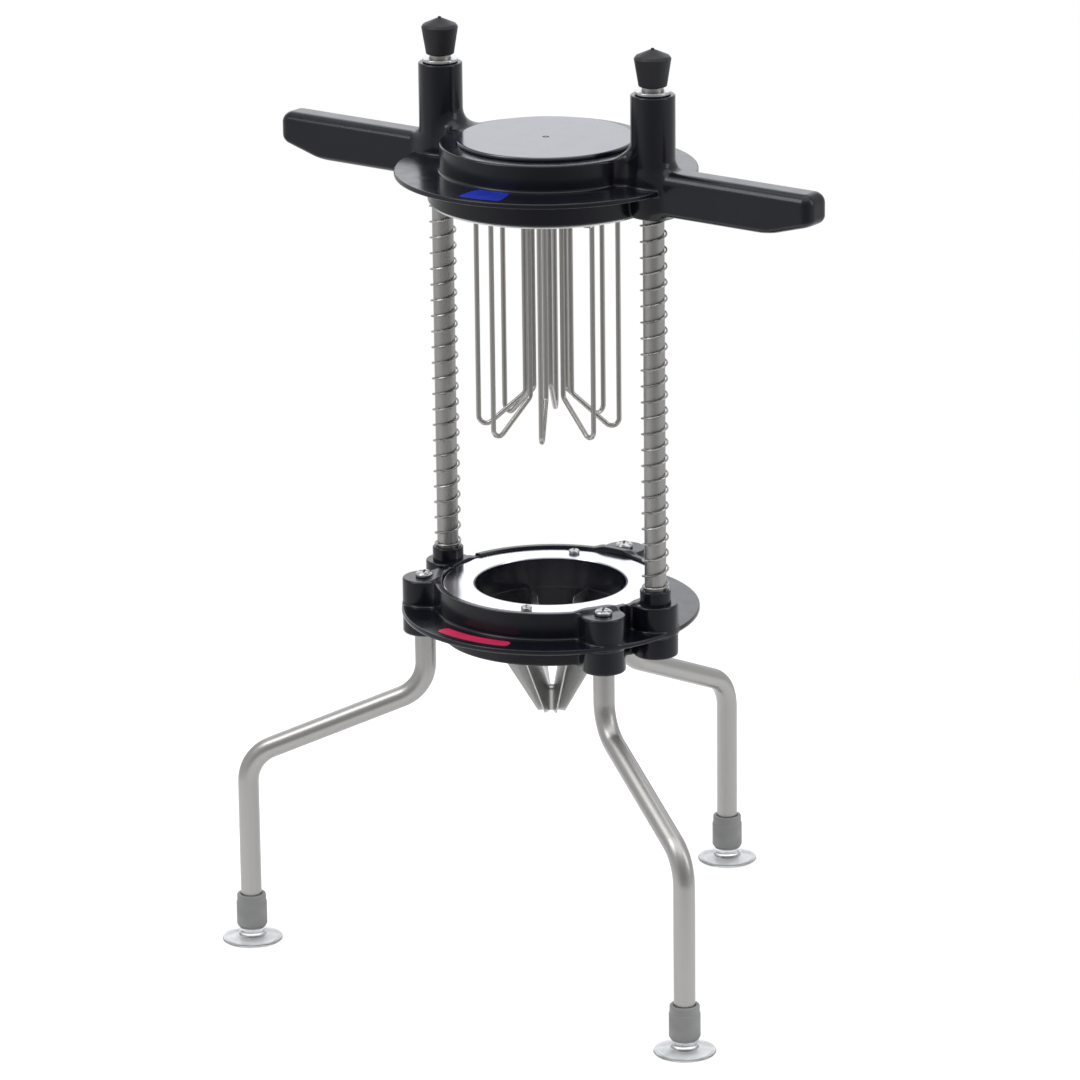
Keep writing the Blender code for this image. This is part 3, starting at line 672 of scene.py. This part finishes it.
def netted(name, field, lowest, highest, keep):
    """A closed mesh where the field is zero: a surface net pulled onto the exact surface,
    thinned to a share of its faces, with the field's own normals."""
    axes = [np.arange(lowest[i], highest[i] + CELL, CELL) for i in range(3)]
    x, y = np.meshgrid(axes[0], axes[1], indexing="ij")
    inside = np.stack([field(x, y, np.full_like(x, z)) < 0.0 for z in axes[2]], axis=2)
    a, b, c = np.array(inside.shape) - 1
    corners = [
        inside[i : i + a, j : j + b, k : k + c] for i, j, k in itertools.product((0, 1), repeat=3)
    ]
    mixed = np.logical_or.reduce(corners) & ~np.logical_and.reduce(corners)
    index = np.full(mixed.shape, -1)
    index[mixed] = np.arange(mixed.sum())
    points = np.array(lowest) + (np.argwhere(mixed) + 0.5) * CELL
    quads = []
    steps = np.eye(3, dtype=int)
    for axis in range(3):
        first = steps[(axis + 1) % 3]
        second = steps[(axis + 2) % 3]
        starts = np.argwhere(inside != np.roll(inside, -1, axis=axis))
        around = (starts - first - second, starts - second, starts, starts - first)
        quad = np.stack([index[tuple(cells.T)] for cells in around], axis=1)
        outside = ~inside[tuple(starts.T)]
        quad[outside] = quad[outside][:, ::-1]
        quads.append(quad)
    quads = np.concatenate(quads)
    points = onto_surface(field, points, 3)
    for _ in range(3):
        points = onto_surface(field, relaxed(points, quads), 2)
    mesh = bpy.data.meshes.new(name)
    mesh.from_pydata(points.tolist(), [], quads.tolist())
    return thinned(name, mesh, field, keep)


def thinned(name, mesh, field, keep):
    """The mesh with a share of its faces, shaded by the field's slope."""
    holder = bpy.data.objects.new(name + "_dense", mesh)
    bpy.context.collection.objects.link(holder)
    step = holder.modifiers.new("thin", "DECIMATE")
    step.ratio = keep
    light = evaluated_mesh(holder)
    bpy.data.objects.remove(holder)
    light.name = name
    light.shade_smooth()
    spots = np.zeros(len(light.vertices) * 3)
    light.vertices.foreach_get("co", spots)
    normals = gradient(field, spots.reshape(-1, 3))
    normals /= np.linalg.norm(normals, axis=1, keepdims=True)
    light.normals_split_custom_set_from_vertices(normals.tolist())
    return light


# ---------------------------------------------------------------- moulded head and ring


def grip_field(along, y, z):
    """Both grips: bars with round ends whose underside rises to the nose."""
    slope = math.atan2(GRIP_NOSE_RISE, GRIP_END_X - GRIP_NOSE_X)
    beam = common(np.abs(y) - GRIP_HALF_THICKNESS, along - GRIP_END_X, 0.0065)
    beam = common(beam, z - GRIP_TOP, 0.0068)
    under = (along - GRIP_NOSE_X) * math.sin(slope) - (z - GRIP_FOOT) * math.cos(slope)
    under = common(under, GRIP_FOOT - z, 0.0020)
    beam = common(beam, under, 0.0040)
    return common(beam, GRIP_ROOT_X - along, 0.001)


def head_field(x, y, z):
    """Flange, drum, guide sleeves and grips as one moulding."""
    radial = np.hypot(x, y)
    along = np.abs(x)
    post = np.hypot(along - POST_X, y)
    drum = upright(radial, z, DRUM_R, HEAD_BOTTOM + DRUM_RISE, DRUM_TOP, 0.0014)
    column = upright(post, z, SLEEVE_R, HEAD_BOTTOM, SLEEVE_TOP, 0.0010)
    flange = upright(radial, z, HEAD_R, HEAD_FLANGE_TOP - FLANGE_THICKNESS, HEAD_FLANGE_TOP, 0.0008)
    skirt_top = HEAD_FLANGE_TOP - SKIRT_DEPTH_IN_FLANGE
    skirt = upright(radial, z, HEAD_SKIRT_R, HEAD_BOTTOM, skirt_top, 0.0010)
    solid = joined(drum, column, 0.0120)
    solid = joined(solid, grip_field(along, y, z), 0.0060)
    solid = joined(solid, flange, 0.0016)
    solid = joined(solid, skirt, 0.0012)
    hollow = upright(radial, z, DRUM_R - SKIN, BELOW_HEAD, DRUM_TOP - SKIN, 0.0010)
    opening = upright(radial, z, DRUM_OPENING_R, BELOW_HEAD, ABOVE_HEAD, 0.0)
    bore = upright(post, z, SLEEVE_BORE_R, BELOW_HEAD, ABOVE_HEAD, 0.0)
    solid = cut(solid, hollow, 0.0006)
    solid = cut(solid, opening, 0.0005)
    return cut(solid, bore, 0.0007)


def ring_field(x, y, z):
    """Wall, flange, seat and bosses of the lower ring as one moulding."""
    radial = np.hypot(x, y)
    along = np.abs(x)
    post = np.hypot(along - POST_X, y)
    wall = upright(radial, z, RING_WALL_R, RING_FLANGE_TOP - WALL_DEPTH_IN_FLANGE, RING_TOP, 0.0007)
    sides = common(np.abs(y) - NOTCH_HALF_WIDTH, SEAT_OUTER_R - SKIN - along, 0.0)
    notch = common(NOTCH_FLOOR - z, sides, 0.0)
    wall = cut(wall, notch, 0.0008)
    skirt = upright(radial, z, RING_SKIRT_R, RING_FOOT, RING_FLANGE_TOP, 0.0010)
    flange = upright(radial, z, RING_R, RING_FLANGE_TOP - FLANGE_THICKNESS, RING_FLANGE_TOP, 0.0008)
    solid = joined(wall, skirt, 0.0010)
    for angle in LEG_ANGLES.values():
        boss_x = LEG_BOSS_CIRCLE_R * math.cos(math.radians(angle))
        boss_y = LEG_BOSS_CIRCLE_R * math.sin(math.radians(angle))
        leg = np.hypot(x - boss_x, y - boss_y)
        boss = upright(leg, z, LEG_BOSS_R, LEG_BOSS_FOOT, LEG_BOSS_TOP, 0.0013)
        solid = joined(solid, boss, 0.0065)
    boss = upright(post, z, POST_BOSS_R, POST_BOSS_FOOT, POST_BOSS_TOP, 0.0013)
    solid = joined(solid, boss, 0.0035)
    solid = joined(solid, flange, 0.0014)
    seat = upright(radial, z, SEAT_OUTER_R, SEAT_Z, ABOVE_RING, 0.0)
    opening = upright(radial, z, SEAT_INNER_R, BELOW_RING, ABOVE_RING, 0.0)
    hollow = upright(radial, z, RING_SKIRT_R - SKIN, BELOW_RING, SEAT_Z - SKIN, 0.0010)
    gutter = common(hollow, SEAT_INNER_R + SKIN - radial, 0.0010)
    recess = upright(post, z, POST_BOLT_RECESS_R, BELOW_RING, POST_BOLT_SEAT_Z, 0.0)
    bore = upright(post, z, POST_BORE_R, BELOW_RING, ABOVE_RING, 0.0)
    solid = cut(solid, seat, 0.0004)
    solid = cut(solid, opening, 0.0006)
    solid = cut(solid, gutter, 0.0006)
    solid = cut(solid, recess, 0.0005)
    return cut(solid, bore, 0.0006)


def make_moulding(name, node, field, body, keep):
    """A black moulding made from its field, in place of its plain node."""
    lowest = low(node) - AXIS - FIELD_MARGIN
    highest = high(node) - AXIS + FIELD_MARGIN
    mesh = netted(name, field, lowest, highest, keep)
    settle(name, mesh, "black_plastic", body, AXIS, [node])


def make_lid():
    """Lid with a rounded rim and the small mark that moulding leaves in the middle."""
    under = DRUM_TOP + CLOSE_GAP
    form = turned(
        [
            (0.0, low("head_lid").z, 0.0),
            (LID_PLUG_R, low("head_lid").z, 0.0003),
            (LID_PLUG_R, under, 0.0),
            (half_width("head_lid"), under, 0.0003),
            (half_width("head_lid"), LID_TOP, 0.0011),
            (LID_MARK_R, LID_TOP, 0.0003),
            (LID_MARK_R - 0.0003, LID_TOP - LID_MARK_DEPTH, 0.0001),
            (LID_NUB_R, LID_TOP - LID_MARK_DEPTH, 0.0001),
            (LID_NUB_R - 0.0002, LID_TOP - LID_NUB_DEPTH, 0.0001),
            (0.0, LID_TOP - LID_NUB_DEPTH, 0.0),
        ],
        LARGE_ROUND,
    )
    piece("lid", form, "lid_plastic", "head", AXIS, ["head_lid"])


# ---------------------------------------------------------------- carrier, blades and screws


def make_carrier():
    """Polished face plate of the blade holder, on a black moulded skirt."""
    bottom = low("blade_carrier").z
    seat = SEAT_Z + GAP
    plate_hole = CARRIER_HOLE_R + CARRIER_LINING + 0.0001
    plate_step = CARRIER_SKIRT_R + 0.0010
    face = turned(
        [
            (plate_hole, SEAT_Z + 0.0010, 0.0),
            (plate_hole, CARRIER_FACE, 0.0010),
            (CARRIER_R, CARRIER_FACE, 0.0008),
            (CARRIER_R, seat, 0.0),
            (plate_step, seat, 0.0),
            (plate_step, SEAT_Z + 0.0010, 0.0),
        ],
        LARGE_ROUND,
    )
    piece("carrier_face", face, "carrier_steel", "base", AXIS, ["blade_carrier"])
    lining = CARRIER_HOLE_R + CARRIER_LINING
    lining_top = CARRIER_FACE - 0.0006
    shelf = SEAT_Z + 0.0009
    well = turned(
        [
            (CARRIER_HOLE_R, bottom, 0.0003),
            (CARRIER_HOLE_R, lining_top, 0.0003),
            (lining, lining_top, 0.0),
            (lining, shelf, 0.0),
            (CARRIER_SKIRT_R, shelf, 0.0),
            (CARRIER_SKIRT_R, bottom, 0.0006),
        ],
        LARGE_ROUND,
    )
    piece("carrier_well", well, "black_plastic", "base", AXIS)


def blade_form(root, tip, top, meeting):
    """A plate about the XZ plane whose inner slope is ground down to an edge."""
    outer = [(root, tip), (BLADE_FOOT_R, tip), (BLADE_TOP_R, top)]
    ground = [(BLADE_MOUTH_R + BLADE_GROUND_WIDTH, top), (root, meeting - BLADE_GROUND_DROP)]
    edge = [(BLADE_MOUTH_R, top), (root, meeting)]
    form = bmesh.new()
    outlines = []
    for side in (-1.0, 1.0):
        thick = side * BLADE_HALF_THICKNESS
        thin = side * BLADE_EDGE_HALF_THICKNESS
        body = [form.verts.new((r, thick, z)) for r, z in outer]
        ridge = [form.verts.new((r, thick, z)) for r, z in ground]
        lip = [form.verts.new((r, thin, z)) for r, z in edge]
        form.faces.new([*body, *ridge])
        form.faces.new([ridge[0], lip[0], lip[1], ridge[1]])
        outlines.append([*body, ridge[0], lip[0], lip[1], ridge[1]])
    first, second = outlines
    for k in range(len(first)):
        after = (k + 1) % len(first)
        form.faces.new([first[k], first[after], second[after], second[k]])
    return form


def make_blades():
    """Eight plates with a ground edge along the upper slope, and their hub."""
    hub = half_width("blade_hub")
    tip = low("blade_hub").z
    meeting = high("blade_hub").z
    top = low("blade_carrier").z
    for i in range(BLADES):
        form = blade_form(hub - BLADE_IN_HUB, tip, top, meeting)
        blade = piece(f"blade_plate_{i + 1}", form, "blade_steel", "base")
        angle = math.radians(FIRST_BLADE_ANGLE - 360.0 / BLADES * i)
        blade.data.transform(Matrix.Translation(AXIS) @ Matrix.Rotation(angle, 4, "Z"))
        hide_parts(f"blade_{i + 1}")
    core = turned(
        [
            (0.0, tip, 0.0),
            (hub, tip, 0.0008),
            (hub, meeting, 0.0020),
            (0.0, meeting + HUB_CROWN, 0.0),
        ],
        NARROW_ROUND,
    )
    piece("blade_core", core, "blade_steel", "base", AXIS, ["blade_hub"])


def make_screw(name, node, head_r, recess_length):
    """A pan-head screw with a cross recess, standing on its seat."""
    top = high(node).z
    bottom = low(node).z
    seat = top - head_r * SCREW_HEAD_HEIGHT
    form = turned(
        [
            (0.0, bottom, 0.0),
            (head_r * SCREW_SHANK, bottom, 0.0003),
            (head_r * SCREW_SHANK, seat, 0.0),
            (head_r, seat, 0.0002),
            (head_r, top - head_r * SCREW_RIM_DROP, head_r * SCREW_RIM_CORNER),
            (head_r * SCREW_CROWN, top, head_r * SCREW_CROWN_CORNER),
            (0.0, top, 0.0),
        ],
        NARROW_ROUND,
    )
    place = upright_axis(node)
    screw = piece(name, form, "fastener_steel", "base", place, [node])
    arm = recess_length / 2
    thin = recess_length * RECESS_WIDTH
    for half_x, half_y in ((arm, thin), (thin, arm)):
        bpy.ops.mesh.primitive_cube_add(size=2.0, location=(place.x, place.y, top))
        cutter = bpy.context.object
        cutter.scale = (half_x, half_y, head_r * RECESS_DEPTH)
        cutter.rotation_euler = (0.0, 0.0, RECESS_TURN)
        step = screw.modifiers.new("recess", "BOOLEAN")
        step.object = cutter
        step.operation = "DIFFERENCE"
        bpy.context.view_layer.update()
        mesh = evaluated_mesh(screw)
        screw.modifiers.clear()
        screw.data = mesh
        bpy.data.objects.remove(cutter)


def make_screws():
    for side in LEG_ANGLES:
        make_screw(f"leg_cap_screw_{side}", f"leg_screw_{side}", *LEG_SCREW)
    for side in ("front", "back"):
        make_screw(f"carrier_pan_screw_{side}", f"carrier_screw_{side}", *CARRIER_SCREW)


# ---------------------------------------------------------------- legs and feet


def make_legs():
    """Bent tubes with their rubber ferrules and clear suction cups."""
    for side, degrees in LEG_ANGLES.items():
        node = f"leg_{side}"
        angle = math.radians(degrees)
        foot = middle(f"suction_cup_{side}") - AXIS
        foot_r = foot.xy.length
        corners = [
            (*on_circle(LEG_BOSS_CIRCLE_R, angle, high(node).z), 0.0),
            (*on_circle(LEG_BOSS_CIRCLE_R, angle, LEG_UPPER_BEND_Z), LEG_BEND_R),
            (*on_circle(foot_r, angle, LEG_LOWER_BEND_Z), LEG_BEND_R),
            (*on_circle(foot_r, angle, low(node).z), 0.0),
        ]
        across = Vector((-math.sin(angle), math.cos(angle), 0.0))
        path = rounded(corners, LEG_BEND_STEPS)
        form = swept(path, TUBE_R, TUBE_ROUND, TUBE_BORE_R, across)
        piece(f"leg_tube_{side}", form, "tube_steel", "base", AXIS, [node])
        place = upright_axis(f"ferrule_{side}")
        make_ferrule(side, place)
        make_cup(side, place)


def make_ferrule(side, place):
    """The rubber boot on a leg's end, open below for the cup's stud."""
    node = f"ferrule_{side}"
    bottom = low(node).z
    top = high(node).z
    outer = half_width(node)
    step = top - FERRULE_STEP_DROP
    form = turned(
        [
            (FERRULE_BORE_R, bottom, 0.0),
            (outer - FERRULE_TAPER, bottom, 0.0008),
            (outer, bottom + FERRULE_TAPER_TOP, 0.0012),
            (outer, step, 0.0006),
            (outer - FERRULE_STEP, step + 0.0006, 0.0004),
            (outer - FERRULE_STEP, top, 0.0011),
            (TUBE_FIT_R, top, 0.0004),
            (TUBE_FIT_R, FERRULE_FLOOR, 0.0),
            (FERRULE_BORE_R, FERRULE_FLOOR, 0.0),
        ],
        SMALL_ROUND,
    )
    piece(f"ferrule_boot_{side}", form, "ferrule_rubber", "base", place, [node])


def make_cup(side, place):
    """A suction cup: thin lip, hollow underside, neck and the stud inside the ferrule."""
    node = f"suction_cup_{side}"
    rim = half_width(node)
    neck_top = low(f"ferrule_{side}").z - CLOSE_GAP
    form = turned(
        [
            (0.0, CUP_HOLLOW_Z, 0.0),
            (*CUP_HOLLOW_SIDE, 0.004),
            (rim - CUP_LIP_WIDTH, 0.0002, 0.001),
            (rim - 0.0004, 0.0, 0.0003),
            (rim, 0.0005, 0.0003),
            (rim - 0.0004, 0.0011, 0.0003),
            (*CUP_SHOULDER, 0.004),
            (*CUP_NECK_FOOT, 0.0012),
            (CUP_NECK_R, neck_top, 0.0005),
            (CUP_STUD_R, neck_top, 0.0002),
            (CUP_STUD_R, CUP_STUD_TOP, 0.0006),
            (0.0, CUP_STUD_TOP, 0.0),
        ],
        MEDIUM_ROUND,
    )
    piece(f"cup_{side}", form, "clear_vinyl", "base", place, [node])


# ---------------------------------------------------------------- posts, springs and knobs


def make_posts():
    """Both guide posts with all that sits on them."""
    for side in SIDES:
        node = f"post_{side}"
        place = upright_axis(node)
        form = turned(
            [
                (TUBE_BORE_R, low(node).z, 0.0),
                (TUBE_R, low(node).z, 0.0003),
                (TUBE_R, high(node).z, 0.0005),
                (TUBE_BORE_R, high(node).z, 0.0),
            ],
            SMALL_ROUND,
        )
        piece(f"post_tube_{side}", form, "tube_steel", "base", place, [node])
        make_collar(side, place)
        make_spring(side, place)
        make_washer(side, place)
        make_knob(side, place)
        make_stud(side, place)


def make_collar(side, place):
    """The black ring at a post's foot that the spring stands on."""
    node = f"post_collar_{side}"
    bottom = low(node).z - CLOSE_GAP
    outer = half_width(node)
    form = turned(
        [
            (TUBE_FIT_R, bottom, 0.0),
            (outer, bottom, 0.0),
            (outer, high(node).z, 0.0009),
            (TUBE_FIT_R, high(node).z, 0.0004),
        ],
        SMALL_ROUND,
    )
    piece(f"collar_{side}", form, "black_plastic", "base", place, [node])


def make_spring(side, place):
    """A coil with closed ends; the real spring shortens as the head comes down."""
    node = f"return_spring_{side}"
    bottom = low(node).z
    length = high(node).z - bottom
    span = length - 2 * SPRING_WIRE_R
    pitch = (span - 2 * SPRING_END_RISE) / (SPRING_TURNS - 2)
    path = []
    for i in range(SPRING_TURNS * SPRING_STEPS_PER_TURN + 1):
        turn = i / SPRING_STEPS_PER_TURN
        rise = SPRING_END_RISE + pitch * (turn - 1.0)
        rise = max(rise, SPRING_END_RISE * turn)
        rise = min(rise, span - SPRING_END_RISE * (SPRING_TURNS - turn))
        path.append(on_circle(SPRING_R, 2 * math.pi * turn, bottom + SPRING_WIRE_R + rise))
    form = swept(path, SPRING_WIRE_R, SPRING_ROUND)
    spring = piece(f"spring_{side}", form, "spring_steel", "base", place, [node])
    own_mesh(spring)


def make_washer(side, place):
    """The steel washer at a post's top that stops the head."""
    node = f"stop_washer_{side}"
    bottom = low(node).z
    top = high(node).z
    outer = half_width(node)
    form = turned(
        [
            (TUBE_FIT_R, bottom, 0.0002),
            (outer, bottom, 0.0005),
            (outer, top, 0.0006),
            (TUBE_FIT_R, top, 0.0002),
        ],
        SMALL_ROUND,
    )
    piece(f"washer_{side}", form, "fastener_steel", "base", place, [node])


def make_knob(side, place):
    """A tapered knob with a shallow domed crown, a nib and a blind bore for its stud."""
    node = f"knob_{side}"
    foot = low(node).z
    top = high(node).z
    widest = half_width(node)
    nib_foot = top - KNOB_NIB_HEIGHT
    form = turned(
        [
            (0.0, foot + KNOB_BORE_DEPTH, 0.0),
            (KNOB_BORE_R, foot + KNOB_BORE_DEPTH, 0.0),
            (KNOB_BORE_R, foot, 0.0002),
            (KNOB_FOOT_R, foot, 0.0005),
            (widest, top - KNOB_WIDEST_DROP, 0.0009),
            (widest - KNOB_CROWN_INSET, top - KNOB_CROWN_DROP, 0.0006),
            (2 * KNOB_NIB_R, nib_foot - 0.0001, 0.0015),
            (KNOB_NIB_R + 0.0001, nib_foot, 0.0003),
            (KNOB_NIB_R, top, 0.0005),
            (0.0, top, 0.0),
        ],
        SMALL_ROUND,
    )
    piece(f"knob_cap_{side}", form, "knob_rubber", f"knob_{side}", place, [node])


def make_stud(side, place):
    """The plug in the post's top, with the threaded end that the knob screws onto."""
    node = f"post_stud_{side}"
    bottom = low(node).z
    shoulder = high(f"post_{side}").z
    tip = high(node).z
    outline = [
        (0.0, bottom, 0.0),
        (STUD_PLUG_R, bottom, 0.0004),
        (STUD_PLUG_R, shoulder, 0.0003),
        (STUD_CREST_R, shoulder, 0.0),
    ]
    for i in range(int((tip - shoulder) / STUD_PITCH)):
        crest = shoulder + STUD_PITCH * (i + 0.75)
        outline.append((STUD_ROOT_R, crest - STUD_PITCH / 2, 0.0))
        outline.append((STUD_CREST_R, crest, 0.0))
    outline.append((STUD_ROOT_R, tip, 0.0))
    outline.append((0.0, tip, 0.0))
    form = turned(outline, STUD_ROUND)
    piece(f"stud_{side}", form, "fastener_steel", "base", place, [node])


# ---------------------------------------------------------------- pusher and labels


def make_plate():
    """The steel disc under the head that the loops hang from."""
    node = "pusher_plate"
    bottom = low(node).z
    top = high(node).z
    form = turned(
        [
            (0.0, bottom, 0.0),
            (PLATE_R, bottom, 0.0005),
            (PLATE_R, top, 0.0005),
            (0.0, top, 0.0),
        ],
        LARGE_ROUND,
    )
    piece("plate_disc", form, "plate_steel", "head", AXIS, [node])


def weld_form(radius, top):
    """The small bead of weld where a wire meets the plate."""
    form = turned(
        [
            (0.0, top - WELD_HEIGHT, 0.0),
            (LOOP_WIRE_R + 0.0001, top - WELD_HEIGHT + 0.0001, 0.0003),
            (WELD_R, top, 0.0),
            (0.0, top, 0.0),
        ],
        WIRE_ROUND,
    )
    bmesh.ops.translate(form, verts=form.verts, vec=(radius, 0.0, 0.0))
    return form


def make_loops():
    """Eight bent wires whose lower ends slope up towards the middle."""
    top = low("pusher_plate").z + CLOSE_GAP
    corners = [
        (LOOP_OUTER_R, 0.0, top, 0.0),
        (LOOP_OUTER_R, 0.0, LOOP_OUTER_FOOT, LOOP_BEND_R),
        (LOOP_INNER_R, 0.0, LOOP_INNER_FOOT, LOOP_BEND_R),
        (LOOP_INNER_R, 0.0, top, 0.0),
    ]
    path = rounded(corners, LOOP_BEND_STEPS)
    for i in range(LOOPS):
        wire = swept(path, LOOP_WIRE_R, WIRE_ROUND, across=Vector((0.0, 1.0, 0.0)))
        form = merged(wire, weld_form(LOOP_OUTER_R, top), weld_form(LOOP_INNER_R, top))
        angle = math.radians(FIRST_LOOP_ANGLE - 360.0 / LOOPS * i)
        pose = Matrix.Translation(AXIS) @ Matrix.Rotation(angle, 4, "Z")
        bmesh.ops.transform(form, matrix=pose, verts=form.verts)
        name = f"loop_wire_{i + 1}"
        piece(name, form, "wire_steel", "head", replaces=[f"pusher_loop_{i + 1}"])


def make_label(name, node, slot, body, shape, flange_top):
    """A thin plain label whose corners are rounded and which follows the flange."""
    inner, outer, centre, half_sweep = shape
    mid = (inner + outer) / 2
    half = (outer - inner) / 2
    bottom = flange_top + LABEL_LIFT
    top = bottom + LABEL_THICKNESS
    form = bmesh.new()
    rows = []
    for i in range(LABEL_STEPS + 1):
        share = 2.0 * i / LABEL_STEPS - 1.0
        end = max(0.0, abs(share) - (1.0 - LABEL_CORNER_SHARE)) / LABEL_CORNER_SHARE
        reach = half * math.sqrt(max(0.0, 1.0 - end**2 * LABEL_CORNER_DEPTH))
        angle = math.radians(centre + half_sweep * share)
        section = ((mid - reach, bottom), (mid + reach, bottom), (mid + reach, top), (mid - reach, top))
        rows.append([form.verts.new(on_circle(radius, angle, z)) for radius, z in section])
    skinned(form, rows, closed=False)
    form.faces.new(rows[0])
    form.faces.new(rows[-1])
    piece(name, form, slot, body, AXIS, [node])


def make_labels():
    make_label("red_band", "base_label", "red_label", "base", RED_LABEL, RING_FLANGE_TOP)
    make_label("blue_band", "head_label", "blue_label", "head", BLUE_LABEL, HEAD_FLANGE_TOP)


def finish_kept_nodes():
    """The nodes that stay as they are take the procedural finishes."""
    for row in frame["record"]["subparts"]:
        node = frame["nodes"][row["node"]]
        if node.hide_render:
            continue
        node.data.materials.clear()
        node.data.materials.append(FINISHES[row["material_slot"]])


# ---------------------------------------------------------------- studio


def direction(azimuth, elevation):
    """The way out from the object, in degrees: azimuth 0 is -Y, and 90 is +X."""
    turn = math.radians(azimuth)
    rise = math.radians(elevation)
    return Vector((math.sin(turn) * math.cos(rise), -math.cos(turn) * math.cos(rise), math.sin(rise)))


def make_camera():
    """A long lens with a little roll, aimed at about half the object's height."""
    back = direction(CAMERA_AZIMUTH, CAMERA_ELEVATION)
    right = on_circle(1.0, math.radians(CAMERA_AZIMUTH))
    up = back.cross(right)
    target = Vector((0.0, AXIS.y, AIM_Z)) - right * AIM_LEFT_SHIFT - up * AIM_DOWN_SHIFT
    roll = math.radians(CAMERA_ROLL)
    rolled_right = right * math.cos(roll) + up * math.sin(roll)
    rolled_up = up * math.cos(roll) - right * math.sin(roll)
    pose = Matrix((rolled_right, rolled_up, back)).transposed().to_4x4()
    pose.translation = target + back * CAMERA_DISTANCE
    lens = bpy.data.cameras.new("camera")
    lens.lens = CAMERA_LENS
    lens.sensor_width = CAMERA_SENSOR
    lens.clip_end = CAMERA_CLIP_END
    camera = bpy.data.objects.new("camera", lens)
    camera.matrix_world = pose
    bpy.context.collection.objects.link(camera)
    bpy.context.scene.camera = camera


def make_floor():
    """A plain pale disc."""
    place = (0.0, AXIS.y, 0.0)
    bpy.ops.mesh.primitive_circle_add(
        vertices=FLOOR_SIDES, radius=FLOOR_R, fill_type="NGON", location=place
    )
    floor = bpy.context.object
    floor.name = "floor"
    nodes = Nodes("floor")
    nodes.tint(nodes.noise(FLOOR_CLOUD_SCALE), (0.90, 0.90, 0.90), (0.93, 0.93, 0.93))
    nodes.set(Roughness=0.85)
    floor.data.materials.append(nodes.material)


def make_lamp(name, azimuth, elevation, distance, size, power, colour=(1.0, 1.0, 1.0)):
    """A rectangular soft light that faces the object from a compass direction."""
    way = direction(azimuth, elevation)
    data = bpy.data.lights.new(name, "AREA")
    data.shape = "RECTANGLE"
    data.size, data.size_y = size
    data.energy = power
    data.color = colour
    lamp = bpy.data.objects.new(name, data)
    lamp.location = Vector((0.0, AXIS.y, LAMP_AIM_Z)) + way * distance
    lamp.rotation_euler = way.to_track_quat("Z", "Y").to_euler()
    lamp.visible_camera = False
    bpy.context.collection.objects.link(lamp)


def make_world():
    """White surroundings for the camera, and for light and reflections an even pale studio
    that is dark where the photographer would stand."""
    world = bpy.data.worlds.new("studio")
    bpy.context.scene.world = world
    bpy.context.scene.view_settings.view_transform = "Standard"
    world.use_nodes = True
    tree = world.node_tree
    seen = tree.nodes["Background"]
    seen.inputs["Color"].default_value = (1.0, 1.0, 1.0, 1.0)
    lit = tree.nodes.new("ShaderNodeBackground")
    lit.inputs["Color"].default_value = (0.97, 0.98, 1.0, 1.0)
    place = tree.nodes.new("ShaderNodeTexCoord")
    facing = tree.nodes.new("ShaderNodeVectorMath")
    facing.operation = "DOT_PRODUCT"
    facing.inputs[1].default_value = -direction(CAMERA_AZIMUTH, 0.0)
    ramp = tree.nodes.new("ShaderNodeMapRange")
    ramp.inputs["From Min"].default_value = WORLD_DARK_UP_TO
    ramp.inputs["From Max"].default_value = WORLD_BRIGHT_FROM
    ramp.inputs["To Min"].default_value = WORLD_DARK
    ramp.inputs["To Max"].default_value = WORLD_BRIGHT
    path = tree.nodes.new("ShaderNodeLightPath")
    mix = tree.nodes.new("ShaderNodeMixShader")
    tree.links.new(place.outputs["Generated"], facing.inputs[0])
    tree.links.new(facing.outputs["Value"], ramp.inputs["Value"])
    tree.links.new(ramp.outputs["Result"], lit.inputs["Strength"])
    tree.links.new(path.outputs["Is Camera Ray"], mix.inputs["Fac"])
    tree.links.new(lit.outputs["Background"], mix.inputs[1])
    tree.links.new(seen.outputs["Background"], mix.inputs[2])
    tree.links.new(mix.outputs["Shader"], tree.nodes["World Output"].inputs["Surface"])


def make_lights():
    """Soft key, fill and backdrop lights, and a wide overhead light."""
    make_lamp("key", -35.0, 45.0, 2.0, size=(0.9, 0.9), power=12.0)
    make_lamp("fill", 110.0, 30.0, 2.2, size=(0.6, 1.4), power=8.0)
    behind = CAMERA_AZIMUTH + 180.0
    make_lamp("backdrop", behind, 26.0, 2.6, size=(3.2, 1.5), power=15.0, colour=(0.92, 0.93, 1.0))
    overhead = bpy.data.lights.new("overhead", "SUN")
    overhead.energy = SUN_STRENGTH
    overhead.angle = SUN_ANGLE
    bpy.context.collection.objects.link(bpy.data.objects.new("overhead", overhead))


# ---------------------------------------------------------------- build


def main():
    make_moulding("head_moulding", "head_body", head_field, "head", HEAD_KEEP)
    make_moulding("ring_moulding", "base_ring", ring_field, "base", RING_KEEP)
    make_lid()
    make_carrier()
    make_blades()
    make_screws()
    make_legs()
    make_posts()
    make_plate()
    make_loops()
    make_labels()
    finish_kept_nodes()
    make_camera()
    make_floor()
    make_world()
    make_lights()


main()
